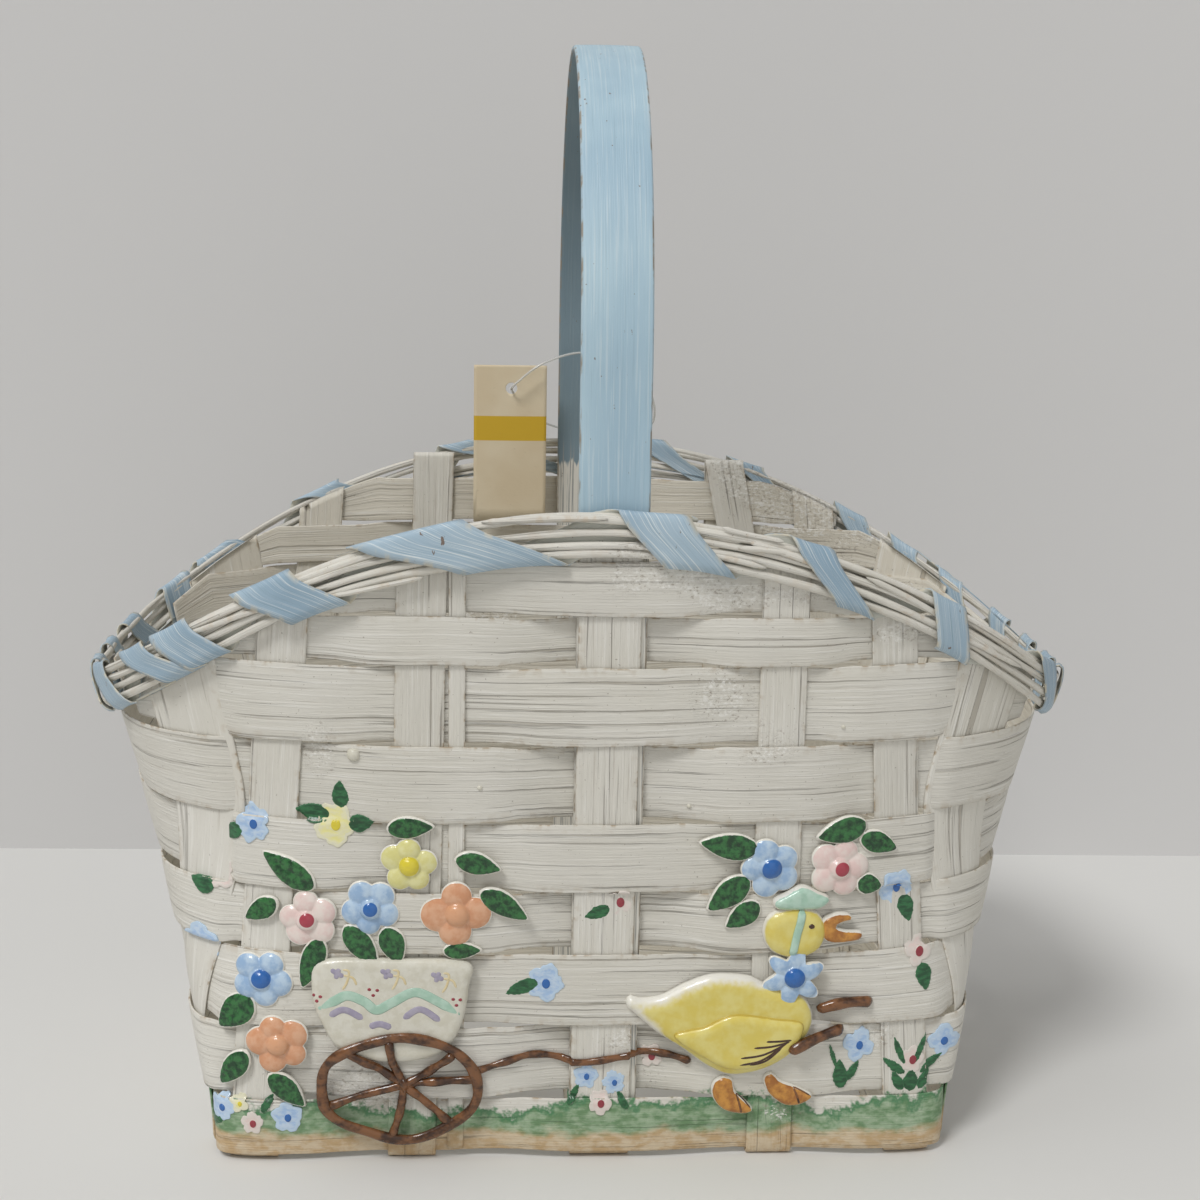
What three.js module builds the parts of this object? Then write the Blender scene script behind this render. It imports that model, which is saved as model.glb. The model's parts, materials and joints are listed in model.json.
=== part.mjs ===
// Easter basket: a painted splint basket with a bent-wood hoop handle, a reed rim bound with a
// ribbon splint, glued-on relief figures on its front, and a card tag on a clear loop.
//
// Millimetres, +Z up. The origin is on the ground under the middle of the basket.
// +X runs along the basket's length and -Y is the decorated front.
import * as THREE from 'three';

// ---------------------------------------------------------------- driving dimensions
const WALL = { baseHalfLength: 140.5, flare: 0.285, flareStart: 19, flareSoftness: 10,
  baseHalfWidth: 90, widthFlare: 14 / 240, rimSquareness: 3, baseSquareness: 7, squareHeight: 150 };
const RIM = { centreZ: 250, endDrop: 74, halfLength: 186, power: 2.1 };
const SPLINT = 0.9;                 // thickness of a stake or a weaver
const WEAVE = 1.6;                  // how far a weaver's middle stands off the stakes' middle
const WEAVE_BEHIND_LEG = 4.3;       // the same where it passes inside a handle leg
const CROSSING_MARGIN = 0.7;        // a weaver is straight this far past each stake's edge
const ROW_GAP = 0.6;                // gap between two weaver rows
const ROW_EDGES = [2.4, 25.2, 54.5, 83.6, 107.8, 134.8, 164.3, 194.3, 212.8, 233.3];
const FULL_LOOPS = 6;               // the lowest rows go all the way round
const BUNDLE_CLEARANCE = 18.4;        // the short rows stop this far below the rim's top line
const SHORT_ROW_REACH = 158;        // no short row runs further than this from the middle
const BASE_LIFT = 1.4;              // an upper base strip's middle above a lower one's
const BASE_RAMP = { foot: 16, top: 10.5 };   // where an upper strip starts and ends its rise
const BEND = 3.5;                   // radius of a stake's bend from wall to base
const BEND_EASE = BEND * (1 - Math.SQRT1_2); // how far the bend's middle is from both its tangents
const TIP_DROP = 1.5;               // a stake's tip lies this far below the rim's top line

// cross stakes: middle at the base and at 200 mm up, and width
const CROSS_STAKES = [
  { name: 'cross_stake_far_left', base: -124.5, up: -111.5, width: 18.5 },
  { name: 'cross_stake_left', base: -65, up: -61.5, width: 18 },
  { name: 'cross_stake_centre', base: 6, up: 6, width: 22.4 },
  { name: 'cross_stake_right', base: 71, up: 69.3, width: 17.3 },
  { name: 'cross_stake_far_right', base: 124.5, up: 110.5, width: 17.5 },
];
const FOLDED = [1, 3];              // these stakes' back tips fold over to the inside
const FOLD = { offset: -3.7, bottom: 203 };
const LONG_STAKES = [
  { name: 'long_stake_front', base: -68, up: -79, width: 17 },
  { name: 'long_stake_middle', base: 0, up: 0, width: 17 },
  { name: 'long_stake_back', base: 68, up: 79, width: 17 },
];
const FILLER = { base: -48.6, up: -48.4, width: 6 };   // narrow strip beside the left stake
const HANDLE = { x: 7, width: 25.4, thickness: 2.5, offset: -2.2, foot: 9, straightTo: 300, top: 415 };
const REED = { diameter: 3.5, pitch: 3.8, count: 4, offset: 3.4 };
const LACING = { width: 14, thickness: 0.6, outside: 6, inside: -5.2, over: 0.9, under: 17.6,
  gapLevel: 205 };
const TAG = { x: -27.2, y: 88, top: 284, width: 31.75, height: 66, thickness: 0.6,
  holeX: -26.7, holeZ: 274, holeRadius: 2.5 };
const LOOP_RADIUS = 0.5;

// ---------------------------------------------------------------- materials
const PAINTS = {
  whitewash: { color: 0xd6d2cc, roughness: 0.75 },
  blueSplint: { color: 0xa9c6dc, roughness: 0.6 },
  card: { color: 0xb2a688, roughness: 0.85 },
  nylon: { color: 0xe8e8e4, roughness: 0.25 },
  white: { color: 0xf0eee6, roughness: 0.45 },
  yellow: { color: 0xe8da78, roughness: 0.4 },
  orange: { color: 0xd08a2c, roughness: 0.4 },
  brown: { color: 0x6b4423, roughness: 0.4 },
  teal: { color: 0x9ed0b8, roughness: 0.4 },
  leaf: { color: 0x1e6a3c, roughness: 0.4 },
  blue: { color: 0x9dbfe6, roughness: 0.4 },
  pink: { color: 0xe9cfcb, roughness: 0.4 },
  peach: { color: 0xe0a27e, roughness: 0.4 },
};

const basket = new THREE.Group();

function addMesh(name, geometry, paint) {
  const material = new THREE.MeshStandardMaterial({ ...PAINTS[paint], metalness: 0 });
  const mesh = new THREE.Mesh(geometry, material);
  mesh.name = name;
  basket.add(mesh);
  return mesh;
}

// ---------------------------------------------------------------- the wall's surface
// Each level of the wall is a superellipse: nearly a rectangle at the base, an oval at the rim.
const halfLength = (z) => WALL.baseHalfLength
  + WALL.flare * WALL.flareSoftness * Math.log1p(Math.exp((z - WALL.flareStart) / WALL.flareSoftness));
const halfWidth = (z) => WALL.baseHalfWidth + WALL.widthFlare * z;
const squareness = (z) => WALL.rimSquareness
  + WALL.baseSquareness * Math.max(0, 1 - z / WALL.squareHeight) ** 2;

// A point on the wall at bearing phi and height z, moved outwards by offset.
function wallPoint(phi, z, offset = 0) {
  const n = squareness(z);
  const cos = Math.cos(phi);
  const sin = Math.sin(phi);
  const a = halfLength(z);
  const b = halfWidth(z);
  const r = (Math.abs(cos / a) ** n + Math.abs(sin / b) ** n) ** (-1 / n);
  const slope = new THREE.Vector2(
    Math.sign(cos) * Math.abs((r * cos) / a) ** (n - 1) / a,
    Math.sign(sin) * Math.abs((r * sin) / b) ** (n - 1) / b).normalize();
  return new THREE.Vector3(r * cos + slope.x * offset, r * sin + slope.y * offset, z);
}

// Bearing of the wall point at x on the front (side -1) or the back (side +1).
function bearingOfX(x, side, z) {
  const n = squareness(z);
  const y = halfWidth(z) * (1 - Math.min(1, Math.abs(x) / halfLength(z)) ** n) ** (1 / n);
  return Math.atan2(side * y, x);
}

// Bearing of the wall point at y on the left (side -1) or the right end (side +1).
function bearingOfY(y, side, z) {
  const n = squareness(z);
  const x = halfLength(z) * (1 - Math.min(1, Math.abs(y) / halfWidth(z)) ** n) ** (1 / n);
  return Math.atan2(y, side * x);
}

const rimHeight = (x) => RIM.centreZ - RIM.endDrop * Math.abs(x / RIM.halfLength) ** RIM.power;

// Height of the rim's top line at a bearing: the wall and the rim line settle on each other.
function rimHeightAt(phi) {
  let z = RIM.centreZ;
  for (let pass = 0; pass < 25; pass += 1) z = rimHeight(wallPoint(phi, z).x);
  return z;
}

const stakeMiddle = (stake, z) => stake.base + ((stake.up - stake.base) * z) / 200;

// ---------------------------------------------------------------- swept solids
// Joins equal convex sections into one closed solid, and turns it outwards. Each face is two
// triangles, and mirrored picks the other diagonal.
function sweep(sections, closed = false, mirrored = false) {
  const size = sections[0].length;
  const positions = sections.flat().flatMap((p) => [p.x, p.y, p.z]);
  const index = [];
  const last = closed ? sections.length : sections.length - 1;
  for (let i = 0; i < last; i += 1) {
    const here = i * size;
    const next = ((i + 1) % sections.length) * size;
    for (let k = 0; k < size; k += 1) {
      const m = (k + 1) % size;
      // the outer face is split along the same diagonal as the inner one, so thin strips stay thick
      if (2 * k < size !== mirrored) index.push(here + k, next + k, next + m, here + k, next + m, here + m);
      else index.push(here + k, next + k, here + m, here + m, next + k, next + m);
    }
  }
  if (!closed) {
    const end = (sections.length - 1) * size;
    for (let k = 1; k < size - 1; k += 1) {
      index.push(0, k, k + 1, end, end + k + 1, end + k);
    }
  }
  if (signedVolume(positions, index) < 0) index.reverse();
  const geometry = new THREE.BufferGeometry();
  geometry.setAttribute('position', new THREE.Float32BufferAttribute(positions, 3));
  geometry.setIndex(index);
  return geometry;
}

function signedVolume(positions, index) {
  const corner = (i) => new THREE.Vector3().fromArray(positions, 3 * i);
  let volume = 0;
  for (let i = 0; i < index.length; i += 3) {
    volume += corner(index[i]).dot(corner(index[i + 1]).cross(corner(index[i + 2])));
  }
  return volume;
}

// ---------------------------------------------------------------- weavers
// The sixteen places where a weaver crosses a stake, in order round the basket.
function crossings(z) {
  const handleReach = HANDLE.width / 2;
  const front = CROSS_STAKES.map((stake, i) => ({ stake, i, side: -1 }));
  const back = CROSS_STAKES.map((stake, i) => ({ stake, i, side: 1 })).reverse();
  const cross = ({ stake, i, side }) => {
    const middle = stakeMiddle(stake, z);
    let low = middle - stake.width / 2;
    let high = middle + stake.width / 2;
    if (i === 2) {
      low = Math.min(low, HANDLE.x - handleReach);
      high = Math.max(high, HANDLE.x + handleReach);
    }
    if (i === 1 && side < 0) high = stakeMiddle(FILLER, z) + FILLER.width / 2;
    const a = bearingOfX(low - CROSSING_MARGIN, side, z);
    const b = bearingOfX(high + CROSSING_MARGIN, side, z);
    return { start: side < 0 ? a : b, end: side < 0 ? b : a, leg: i === 2 };
  };
  const long = (stake, side) => {
    const middle = stakeMiddle(stake, z);
    const reach = edgeReach(bearingOfY(middle, side, z), stake.width / 2 + CROSSING_MARGIN, z);
    return { ...reach, leg: false };
  };
  const right = LONG_STAKES.map((stake) => long(stake, 1));
  const left = LONG_STAKES.map((stake) => long(stake, -1)).reverse();
  return [...front.map(cross), ...right, ...back.map(cross), ...left];
}

// Bearings a given distance along the wall to each side of a bearing.
function edgeReach(phi, distance, z) {
  const step = 1e-4;
  const speed = wallPoint(phi + step, z).distanceTo(wallPoint(phi - step, z)) / (2 * step);
  return { start: phi - distance / speed, end: phi + distance / speed };
}

const unwrap = (phi, from) => (phi < from ? unwrap(phi + 2 * Math.PI, from) : phi);

// Stations of one weaver: bearing and stand-off. The weaver is straight over each stake and
// slants across the gap to the next one.
function weaverStations(row, z) {
  const places = crossings(z);
  const stations = [];
  let from = places[0].start;
  places.forEach((place, k) => {
    const outside = (k + row) % 2 === 1;
    const offset = outside ? WEAVE : -(place.leg ? WEAVE_BEHIND_LEG : WEAVE);
    const start = unwrap(place.start, from);
    const end = unwrap(place.end, start);
    stations.push({ phi: start, offset, k }, { phi: end, offset, k });
    from = end;
  });
  const filled = [];
  stations.forEach((station, i) => {
    filled.push(station);
    if (i % 2 === 0) return;
    const next = stations[(i + 1) % stations.length];
    const nextPhi = unwrap(next.phi, station.phi);
    for (const share of [1 / 3, 2 / 3]) {
      filled.push({ k: station.k,
        phi: station.phi + (nextPhi - station.phi) * share,
        offset: station.offset + (next.offset - station.offset) * share });
    }
  });
  return filled;
}

// A weaver's top edge stays just under the rim's bundle.
const underRim = (phi, top) => Math.min(top, rimHeightAt(phi) - BUNDLE_CLEARANCE);

// One weaver section: inner and outer corner at the bottom and at the top edge.
function weaverSection({ phi, offset }, bottom, fullTop) {
  const half = SPLINT / 2;
  const top = underRim(phi, fullTop);
  return [wallPoint(phi, bottom, offset - half), wallPoint(phi, bottom, offset + half),
    wallPoint(phi, top, offset + half), wallPoint(phi, top, offset - half)];
}

function addWeavers() {
  for (let level = 0; level < ROW_EDGES.length - 1; level += 1) {
    const row = ROW_EDGES.length - 1 - level;
    const bottom = ROW_EDGES[level] + ROW_GAP;
    const top = ROW_EDGES[level + 1];
    const stations = weaverStations(row, (bottom + top) / 2);
    if (level < FULL_LOOPS) {
      addMesh(`weaver_row_${row}`, sweep(stations.map((s) => weaverSection(s, bottom, top)), true),
        'whitewash');
    } else {
      addShortWeaver(`weaver_row_${row}_front`, stations, bottom, top, -1);
      addShortWeaver(`weaver_row_${row}_back`, stations, bottom, top, 1);
    }
  }
}

// An upper row is a strip on one side, and its ends run in under the sloping rim.
function addShortWeaver(name, stations, bottom, top, side) {
  const kept = stations.filter((s) => Math.sign(Math.sin(s.phi)) === side
    && Math.abs(wallPoint(s.phi, bottom).x) < SHORT_ROW_REACH && underRim(s.phi, top) - bottom > 4);
  kept.sort((a, b) => side * (wallPoint(a.phi, bottom).x - wallPoint(b.phi, bottom).x));
  addMesh(name, sweep(kept.map((s) => weaverSection(s, bottom, top))), 'whitewash');
}

// ---------------------------------------------------------------- stakes
// A stake's section on the wall, between two bearings.
function stakeSection(a, b, z, offset = 0) {
  const half = SPLINT / 2;
  return [wallPoint(a, z, offset - half), wallPoint(b, z, offset - half),
    wallPoint(b, z, offset + half), wallPoint(a, z, offset + half)];
}

// A stake bends where the weavers' edges are, so the two keep their distance.
const levelsBelow = (top) => [...ROW_EDGES.slice(1).reverse().filter((z) => z < top - 4), BEND + 1.5];

// A stake's tip, cut along the slope of the rim.
function tipSection(a, b, offset = 0) {
  const half = SPLINT / 2;
  const corner = (phi, shift) => wallPoint(phi, rimHeightAt(phi) - TIP_DROP, offset + shift);
  return [corner(a, -half), corner(b, -half), corner(b, half), corner(a, half)];
}

// Middle line of a stake across the base: down from one wall, over and under, up the other. It
// rises to the upper level at each strip that it passes over, and stays there to the wall when
// that strip is close to the wall, whose nearest part may be drawn in at a corner.
function basePath(reach, nearest, crossed, upper) {
  const low = SPLINT / 2;
  const over = crossed.filter((_, i) => upper(i));
  const nearWall = (middle) => Math.abs(middle) + BASE_RAMP.foot > nearest - BEND;
  const end = low + (over.some(nearWall) ? BASE_LIFT : 0);
  const path = [[-reach + BEND_EASE, end + BEND_EASE], [-reach + BEND, end]];
  over.forEach((middle) => {
    const rise = [[middle - BASE_RAMP.foot, low], [middle - BASE_RAMP.top, low + BASE_LIFT]];
    const fall = [[middle + BASE_RAMP.top, low + BASE_LIFT], [middle + BASE_RAMP.foot, low]];
    if (!(nearWall(middle) && middle < 0)) path.push(...rise);
    if (!(nearWall(middle) && middle > 0)) path.push(...fall);
  });
  path.push([reach - BEND, end], [reach - BEND_EASE, end + BEND_EASE]);
  return path;
}

// A stake's section under the basket, across the run of a cross stake. Near its ends it keeps to
// the wall's own line, which draws in at the corners, and it turns up by half a right angle.
function baseSection(stake, run, z, reach, wallReach) {
  const inset = reach - Math.abs(run);
  const turn = inset < BEND / 2 ? (SPLINT / 2) * Math.SQRT1_2 : 0;
  const lift = turn || SPLINT / 2;
  const settle = (edge) => (inset > BEND + 0.01 ? run : Math.sign(run) * (wallReach(edge) - inset));
  const corner = (edge, side) => new THREE.Vector3(edge, settle(edge) - side * Math.sign(run) * turn,
    z + side * lift);
  const a = stake.base - stake.width / 2;
  const b = stake.base + stake.width / 2;
  return [corner(a, 1), corner(b, 1), corner(b, -1), corner(a, -1)];
}

function addCrossStake(stake, order) {
  const edges = (z, side) => [stakeMiddle(stake, z) - stake.width / 2,
    stakeMiddle(stake, z) + stake.width / 2].map((x) => bearingOfX(x, side, z));
  const tip = rimHeight(stakeMiddle(stake, 220)) - TIP_DROP;
  const wall = (side) => [tipSection(...edges(tip, side)),
    ...levelsBelow(tip).map((z) => stakeSection(...edges(z, side), z))];
  const sections = wall(-1);
  const wallY = (x) => Math.abs(wallPoint(bearingOfX(x, -1, BEND), BEND).y);
  const path = basePath(WALL.baseHalfWidth, wallY(Math.abs(stake.base) + stake.width / 2),
    LONG_STAKES.map((s) => s.base), (i) => (i + order) % 2 === 0);
  sections.push(...path.map(([y, z]) => baseSection(stake, y, z, WALL.baseHalfWidth, wallY)));
  sections.push(...wall(1).reverse());
  if (FOLDED.includes(order)) {
    const top = sections.pop();
    const lower = tip - 2.2;
    sections.push(stakeSection(...edges(lower, 1), lower));
    sections.push(top.map((p, i) => p.clone().add(new THREE.Vector3(0,
      FOLD.offset / 2 + (i < 2 ? SPLINT / 2 : -SPLINT / 2), i < 2 ? -SPLINT : 0))));
    for (const level of [lower, FOLD.bottom]) {
      const [a, b] = edges(level, 1);
      const [innerA, innerB, outerB, outerA] = stakeSection(a, b, level, FOLD.offset);
      sections.push([outerA, outerB, innerB, innerA]);
    }
  }
  addMesh(stake.name, sweep(sections), 'whitewash');
}

function addLongStake(stake, order) {
  const edges = (z, side) => {
    const { start, end } = edgeReach(bearingOfY(stakeMiddle(stake, z), side, z), stake.width / 2, z);
    return side > 0 ? [start, end] : [end, start];
  };
  const tip = rimHeightAt(bearingOfY(stakeMiddle(stake, 180), 1, 180)) - TIP_DROP;
  const wall = (side) => [tipSection(...edges(tip, side)),
    ...levelsBelow(tip).map((z) => stakeSection(...edges(z, side), z))];
  const sections = wall(-1);
  const wallX = (y) => Math.abs(wallPoint(bearingOfY(y, 1, BEND), BEND).x);
  const path = basePath(WALL.baseHalfLength, wallX(Math.abs(stake.base) + stake.width / 2),
    CROSS_STAKES.map((s) => s.base), (i) => (i + order) % 2 === 1);
  const swap = (p) => new THREE.Vector3(p.y, p.x, p.z);
  sections.push(...path.map(([x, z]) => baseSection(stake, x, z, WALL.baseHalfLength, wallX).map(swap)));
  sections.push(...wall(1).reverse());
  addMesh(stake.name, sweep(sections), 'whitewash');
}

function addFillerStake() {
  const edges = (z) => [stakeMiddle(FILLER, z) - FILLER.width / 2,
    stakeMiddle(FILLER, z) + FILLER.width / 2].map((x) => bearingOfX(x, -1, z));
  const tip = rimHeight(FILLER.up) - TIP_DROP;
  const sections = levelsBelow(tip).map((z) => stakeSection(...edges(z), z));
  addMesh('filler_stake', sweep([tipSection(...edges(tip)), ...sections]), 'whitewash');
}

// ---------------------------------------------------------------- handle
// The hoop's middle line in the plane across the basket: up, over a half ellipse, and down.
function addHandle() {
  const y = (z) => halfWidth(z) + HANDLE.offset;
  const up = [HANDLE.foot, 60, 120, 180, 240, 270, HANDLE.straightTo].map((z) => [-y(Math.min(z, 250)), z]);
  const reach = y(250);
  const rise = HANDLE.top - HANDLE.thickness / 2 - HANDLE.straightTo;
  const arch = [];
  const steps = 20;
  for (let i = 1; i < steps; i += 1) {
    const turn = Math.PI * (i / steps);
    arch.push([-reach * Math.cos(turn), HANDLE.straightTo + rise * Math.sin(turn)]);
  }
  const line = [...up, ...arch, ...up.map(([a, z]) => [-a, z]).reverse()];
  const sections = line.map(([py, pz], i) => {
    const before = line[Math.max(0, i - 1)];
    const after = line[Math.min(line.length - 1, i + 1)];
    const along = new THREE.Vector2(after[0] - before[0], after[1] - before[1]).normalize();
    const ny = (-along.y * HANDLE.thickness) / 2;
    const nz = (along.x * HANDLE.thickness) / 2;
    const a = HANDLE.x - HANDLE.width / 2;
    const b = HANDLE.x + HANDLE.width / 2;
    return [new THREE.Vector3(a, py - ny, pz - nz), new THREE.Vector3(b, py - ny, pz - nz),
      new THREE.Vector3(b, py + ny, pz + nz), new THREE.Vector3(a, py + ny, pz + nz)];
  });
  addMesh('handle_hoop', sweep(sections), 'blueSplint');
}

// ---------------------------------------------------------------- rim
function addReeds() {
  const sides = 5;
  const stations = 48;
  for (let reed = 0; reed < REED.count; reed += 1) {
    const sections = [];
    for (let i = 0; i < stations; i += 1) {
      const phi = bearingOfShare(i / stations);
      const z = rimHeightAt(phi) - REED.diameter / 2 - reed * REED.pitch;
      const centre = wallPoint(phi, z, REED.offset);
      const outwards = wallPoint(phi, z, REED.offset + 1).sub(centre);
      const up = new THREE.Vector3(0, 0, 1);
      sections.push(Array.from({ length: sides }, (_, k) => {
        const turn = (2 * Math.PI * k) / sides;
        return centre.clone().addScaledVector(outwards, (REED.diameter / 2) * Math.cos(turn))
          .addScaledVector(up, (REED.diameter / 2) * Math.sin(turn));
      }));
    }
    addMesh(`rim_reed_${reed + 1}`, sweep(sections, true), 'whitewash');
  }
}

// Bearing at a share of the way round, evened out for the basket's long shape.
function bearingOfShare(share) {
  const turn = 2 * Math.PI * share;
  return Math.atan2(halfWidth(200) * Math.sin(turn), halfLength(180) * Math.cos(turn));
}

// Bearings where the ribbon goes under the rim: the middle of each gap between stakes.
function lacingLows() {
  const places = crossings(LACING.gapLevel);
  return places.map((place, k) => {
    const next = unwrap(places[(k + 1) % places.length].start, place.end);
    return (place.end + next) / 2;
  });
}

// Bearings where the ribbon goes over the rim: one beside each stake, clear of the handle.
function lacingTops() {
  const beside = HANDLE.width / 2 + LACING.width / 2 + 1.2;
  const front = CROSS_STAKES.map((stake, i) => bearingOfX(
    i === 2 ? HANDLE.x + beside : stakeMiddle(stake, 230), -1, rimHeight(stake.up)));
  const back = CROSS_STAKES.map((stake, i) => bearingOfX(
    i === 2 ? HANDLE.x - beside : stakeMiddle(stake, 230), 1, rimHeight(stake.up))).reverse();
  const right = LONG_STAKES.map((stake) => bearingOfY(stakeMiddle(stake, 190), 1, 190));
  const left = LONG_STAKES.map((stake) => bearingOfY(stakeMiddle(stake, 190), -1, 190)).reverse();
  return [...front, ...right, ...back, ...left];
}

function addLacing() {
  const tops = lacingTops();
  const line = [];
  const place = (phi, offset, below) => {
    const z = rimHeightAt(phi);
    line.push({ point: wallPoint(phi, z - below, offset), phi });
  };
  const lows = lacingLows();
  tops.forEach((top, i) => {
    const start = i === 0 ? top : unwrap(top, line.at(-1).phi - 0.001);
    const low = unwrap(lows[i], start);
    const next = unwrap(tops[(i + 1) % tops.length], low);
    place(start, 0, -LACING.over);
    place(start, LACING.outside, -LACING.over + 1.2);
    place((start + low) / 2, LACING.outside, LACING.under / 2);
    place(low, LACING.outside, LACING.under - 1);
    place(low, 0.5, LACING.under);
    place(low, LACING.inside, LACING.under - 1);
    place((low + next) / 2, LACING.inside, LACING.under / 2);
    place(next, LACING.inside, -LACING.over + 1.2);
  });
  line.push({ ...line[0], phi: unwrap(line[0].phi, line.at(-1).phi) });
  const sections = line.map(({ point, phi }, i) => {
    const step = 0.01;
    const along = wallPoint(phi + step, rimHeightAt(phi + step))
      .sub(wallPoint(phi - step, rimHeightAt(phi - step))).normalize();
    const before = line[Math.max(0, i - 1)].point;
    const after = line[Math.min(line.length - 1, i + 1)].point;
    const run = after.clone().sub(before);
    const normal = along.clone().cross(run).normalize().multiplyScalar(LACING.thickness / 2);
    const half = along.multiplyScalar(LACING.width / 2);
    return [point.clone().sub(half).sub(normal), point.clone().add(half).sub(normal),
      point.clone().add(half).add(normal), point.clone().sub(half).add(normal)];
  });
  sections.pop();
  sections.pop();
  addMesh('rim_lacing', sweep(sections, false, true), 'blueSplint');
}

// ---------------------------------------------------------------- tag
function addTag() {
  const outline = new THREE.Shape();
  const left = TAG.x - TAG.width / 2;
  const right = TAG.x + TAG.width / 2;
  outline.moveTo(left, TAG.top - TAG.height);
  outline.lineTo(right, TAG.top - TAG.height);
  outline.lineTo(right, TAG.top);
  outline.lineTo(left, TAG.top);
  const hole = new THREE.Path();
  hole.absarc(TAG.holeX, TAG.holeZ, TAG.holeRadius, 0, 2 * Math.PI, true);
  outline.holes.push(hole);
  const card = new THREE.ExtrudeGeometry(outline,
    { depth: TAG.thickness, bevelEnabled: false, curveSegments: 6 });
  card.rotateX(Math.PI / 2);
  card.translate(0, TAG.y + TAG.thickness / 2, 0);
  addMesh('tag_card', card, 'card');

  // the clear loop: through the card's hole, over its top and round the back leg of the handle
  const route = [[-26.7, 84.5, 274.2], [-24.5, 82.5, 277], [-13, 83, 285.5], [4, 86, 290],
    [22, 90, 285.5], [34, 95, 273], [37, 101, 260], [31, 107, 253.6], [14, 109.6, 252.8],
    [-3, 109, 254], [-15.5, 104.5, 259], [-23, 99, 266.5], [-26.4, 93, 272.5], [-26.7, 90, 274]];
  const curve = new THREE.CatmullRomCurve3(route.map((p) => new THREE.Vector3(...p)), true);
  const steps = 44;
  const sides = 5;
  const frames = curve.computeFrenetFrames(steps, true);
  const sections = Array.from({ length: steps }, (_, i) => {
    const centre = curve.getPointAt(i / steps);
    return Array.from({ length: sides }, (_unused, k) => {
      const turn = (2 * Math.PI * k) / sides;
      return centre.clone()
        .addScaledVector(frames.normals[i], LOOP_RADIUS * Math.cos(turn))
        .addScaledVector(frames.binormals[i], LOOP_RADIUS * Math.sin(turn));
    });
  });
  addMesh('tag_loop', sweep(sections, true), 'nylon');
}

// ---------------------------------------------------------------- relief figures
// A flat figure on the front wall: its outline is in wall millimetres (along X, up Z), it lies
// square to the wall at its middle, and its back stands `lift` off the wall's middle surface.
function reliefGeometry(shape, [x, z], lift, thickness, options = {}) {
  const geometry = new THREE.ExtrudeGeometry(shape,
    { depth: thickness, bevelEnabled: false, curveSegments: 3, ...options });
  const phi = bearingOfX(x, -1, z);
  const foot = wallPoint(phi, z, lift);
  const outwards = wallPoint(phi, z, lift + 1).sub(foot);
  const above = wallPoint(bearingOfX(x, -1, z + 5), z + 5, lift).sub(foot);
  const lean = Math.atan2(-above.y, above.z);
  const turn = Math.atan2(outwards.x, -outwards.y);
  geometry.translate(-x, -z, 0);
  geometry.rotateX(Math.PI / 2 + lean);
  geometry.rotateZ(turn);
  geometry.translate(foot.x, foot.y, foot.z);
  return geometry;
}

const centreOf = (points) => {
  const box = new THREE.Box2().setFromPoints(points);
  const middle = box.getCenter(new THREE.Vector2());
  return [middle.x, middle.y];
};

// A smooth closed outline through a few points.
function smoothShape(points, divisions) {
  const curve = new THREE.CatmullRomCurve3(points.map(([x, z]) => new THREE.Vector3(x, z, 0)), true);
  return new THREE.Shape(curve.getPoints(divisions).slice(0, -1).map((p) => new THREE.Vector2(p.x, p.y)));
}

function addFigure(name, points, divisions, lift, thickness, paint) {
  const shape = smoothShape(points, divisions);
  addMesh(name, reliefGeometry(shape, centreOf(shape.getPoints()), lift, thickness), paint);
}

// A flower: five round petals, as one scalloped outline.
function flowerShape(x, z, radius) {
  const points = [];
  const count = 25;
  for (let i = 0; i < count; i += 1) {
    const turn = (2 * Math.PI * i) / count;
    const r = radius * (0.62 + 0.38 * Math.sqrt(Math.abs(Math.cos(2.5 * turn))));
    points.push(new THREE.Vector2(x + r * Math.sin(turn), z + r * Math.cos(turn)));
  }
  return new THREE.Shape(points);
}

// A leaf: two arcs from its base to its tip.
function leafGeometry([x, z, length, width, degrees]) {
  const points = [];
  const count = 10;
  const turn = THREE.MathUtils.degToRad(degrees);
  for (let i = 0; i < count; i += 1) {
    const share = (2 * Math.PI * i) / count;
    const along = (length / 2) * Math.cos(share);
    const across = (width / 2) * Math.sin(share) * (1 - 0.25 * Math.cos(share));
    points.push(new THREE.Vector2(x + along * Math.cos(turn) - across * Math.sin(turn),
      z + along * Math.sin(turn) + across * Math.cos(turn)));
  }
  return reliefGeometry(new THREE.Shape(points), [x, z], 2.5, 1.2);
}

// A twig: a bar of even width along a few points.
function twigShape(points, width) {
  const curve = new THREE.CatmullRomCurve3(points.map(([x, z]) => new THREE.Vector3(x, z, 0)));
  const steps = 4 * (points.length - 1);
  const left = [];
  const right = [];
  for (let i = 0; i <= steps; i += 1) {
    const p = curve.getPoint(i / steps);
    const along = curve.getTangent(i / steps);
    left.push(new THREE.Vector2(p.x - along.y * (width / 2), p.y + along.x * (width / 2)));
    right.unshift(new THREE.Vector2(p.x + along.y * (width / 2), p.y - along.x * (width / 2)));
  }
  return new THREE.Shape([...left, ...right]);
}

const WHEEL = { x: -69.3, z: 31.2, halfWidth: 29.2, halfHeight: 22.2, rim: 3.4, hubX: -67.7, hubZ: 32.2,
  hub: 4.2, spoke: 1.5, spokeBearings: [98, 133, 45, 8, -48, -96, -158] };

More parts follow.
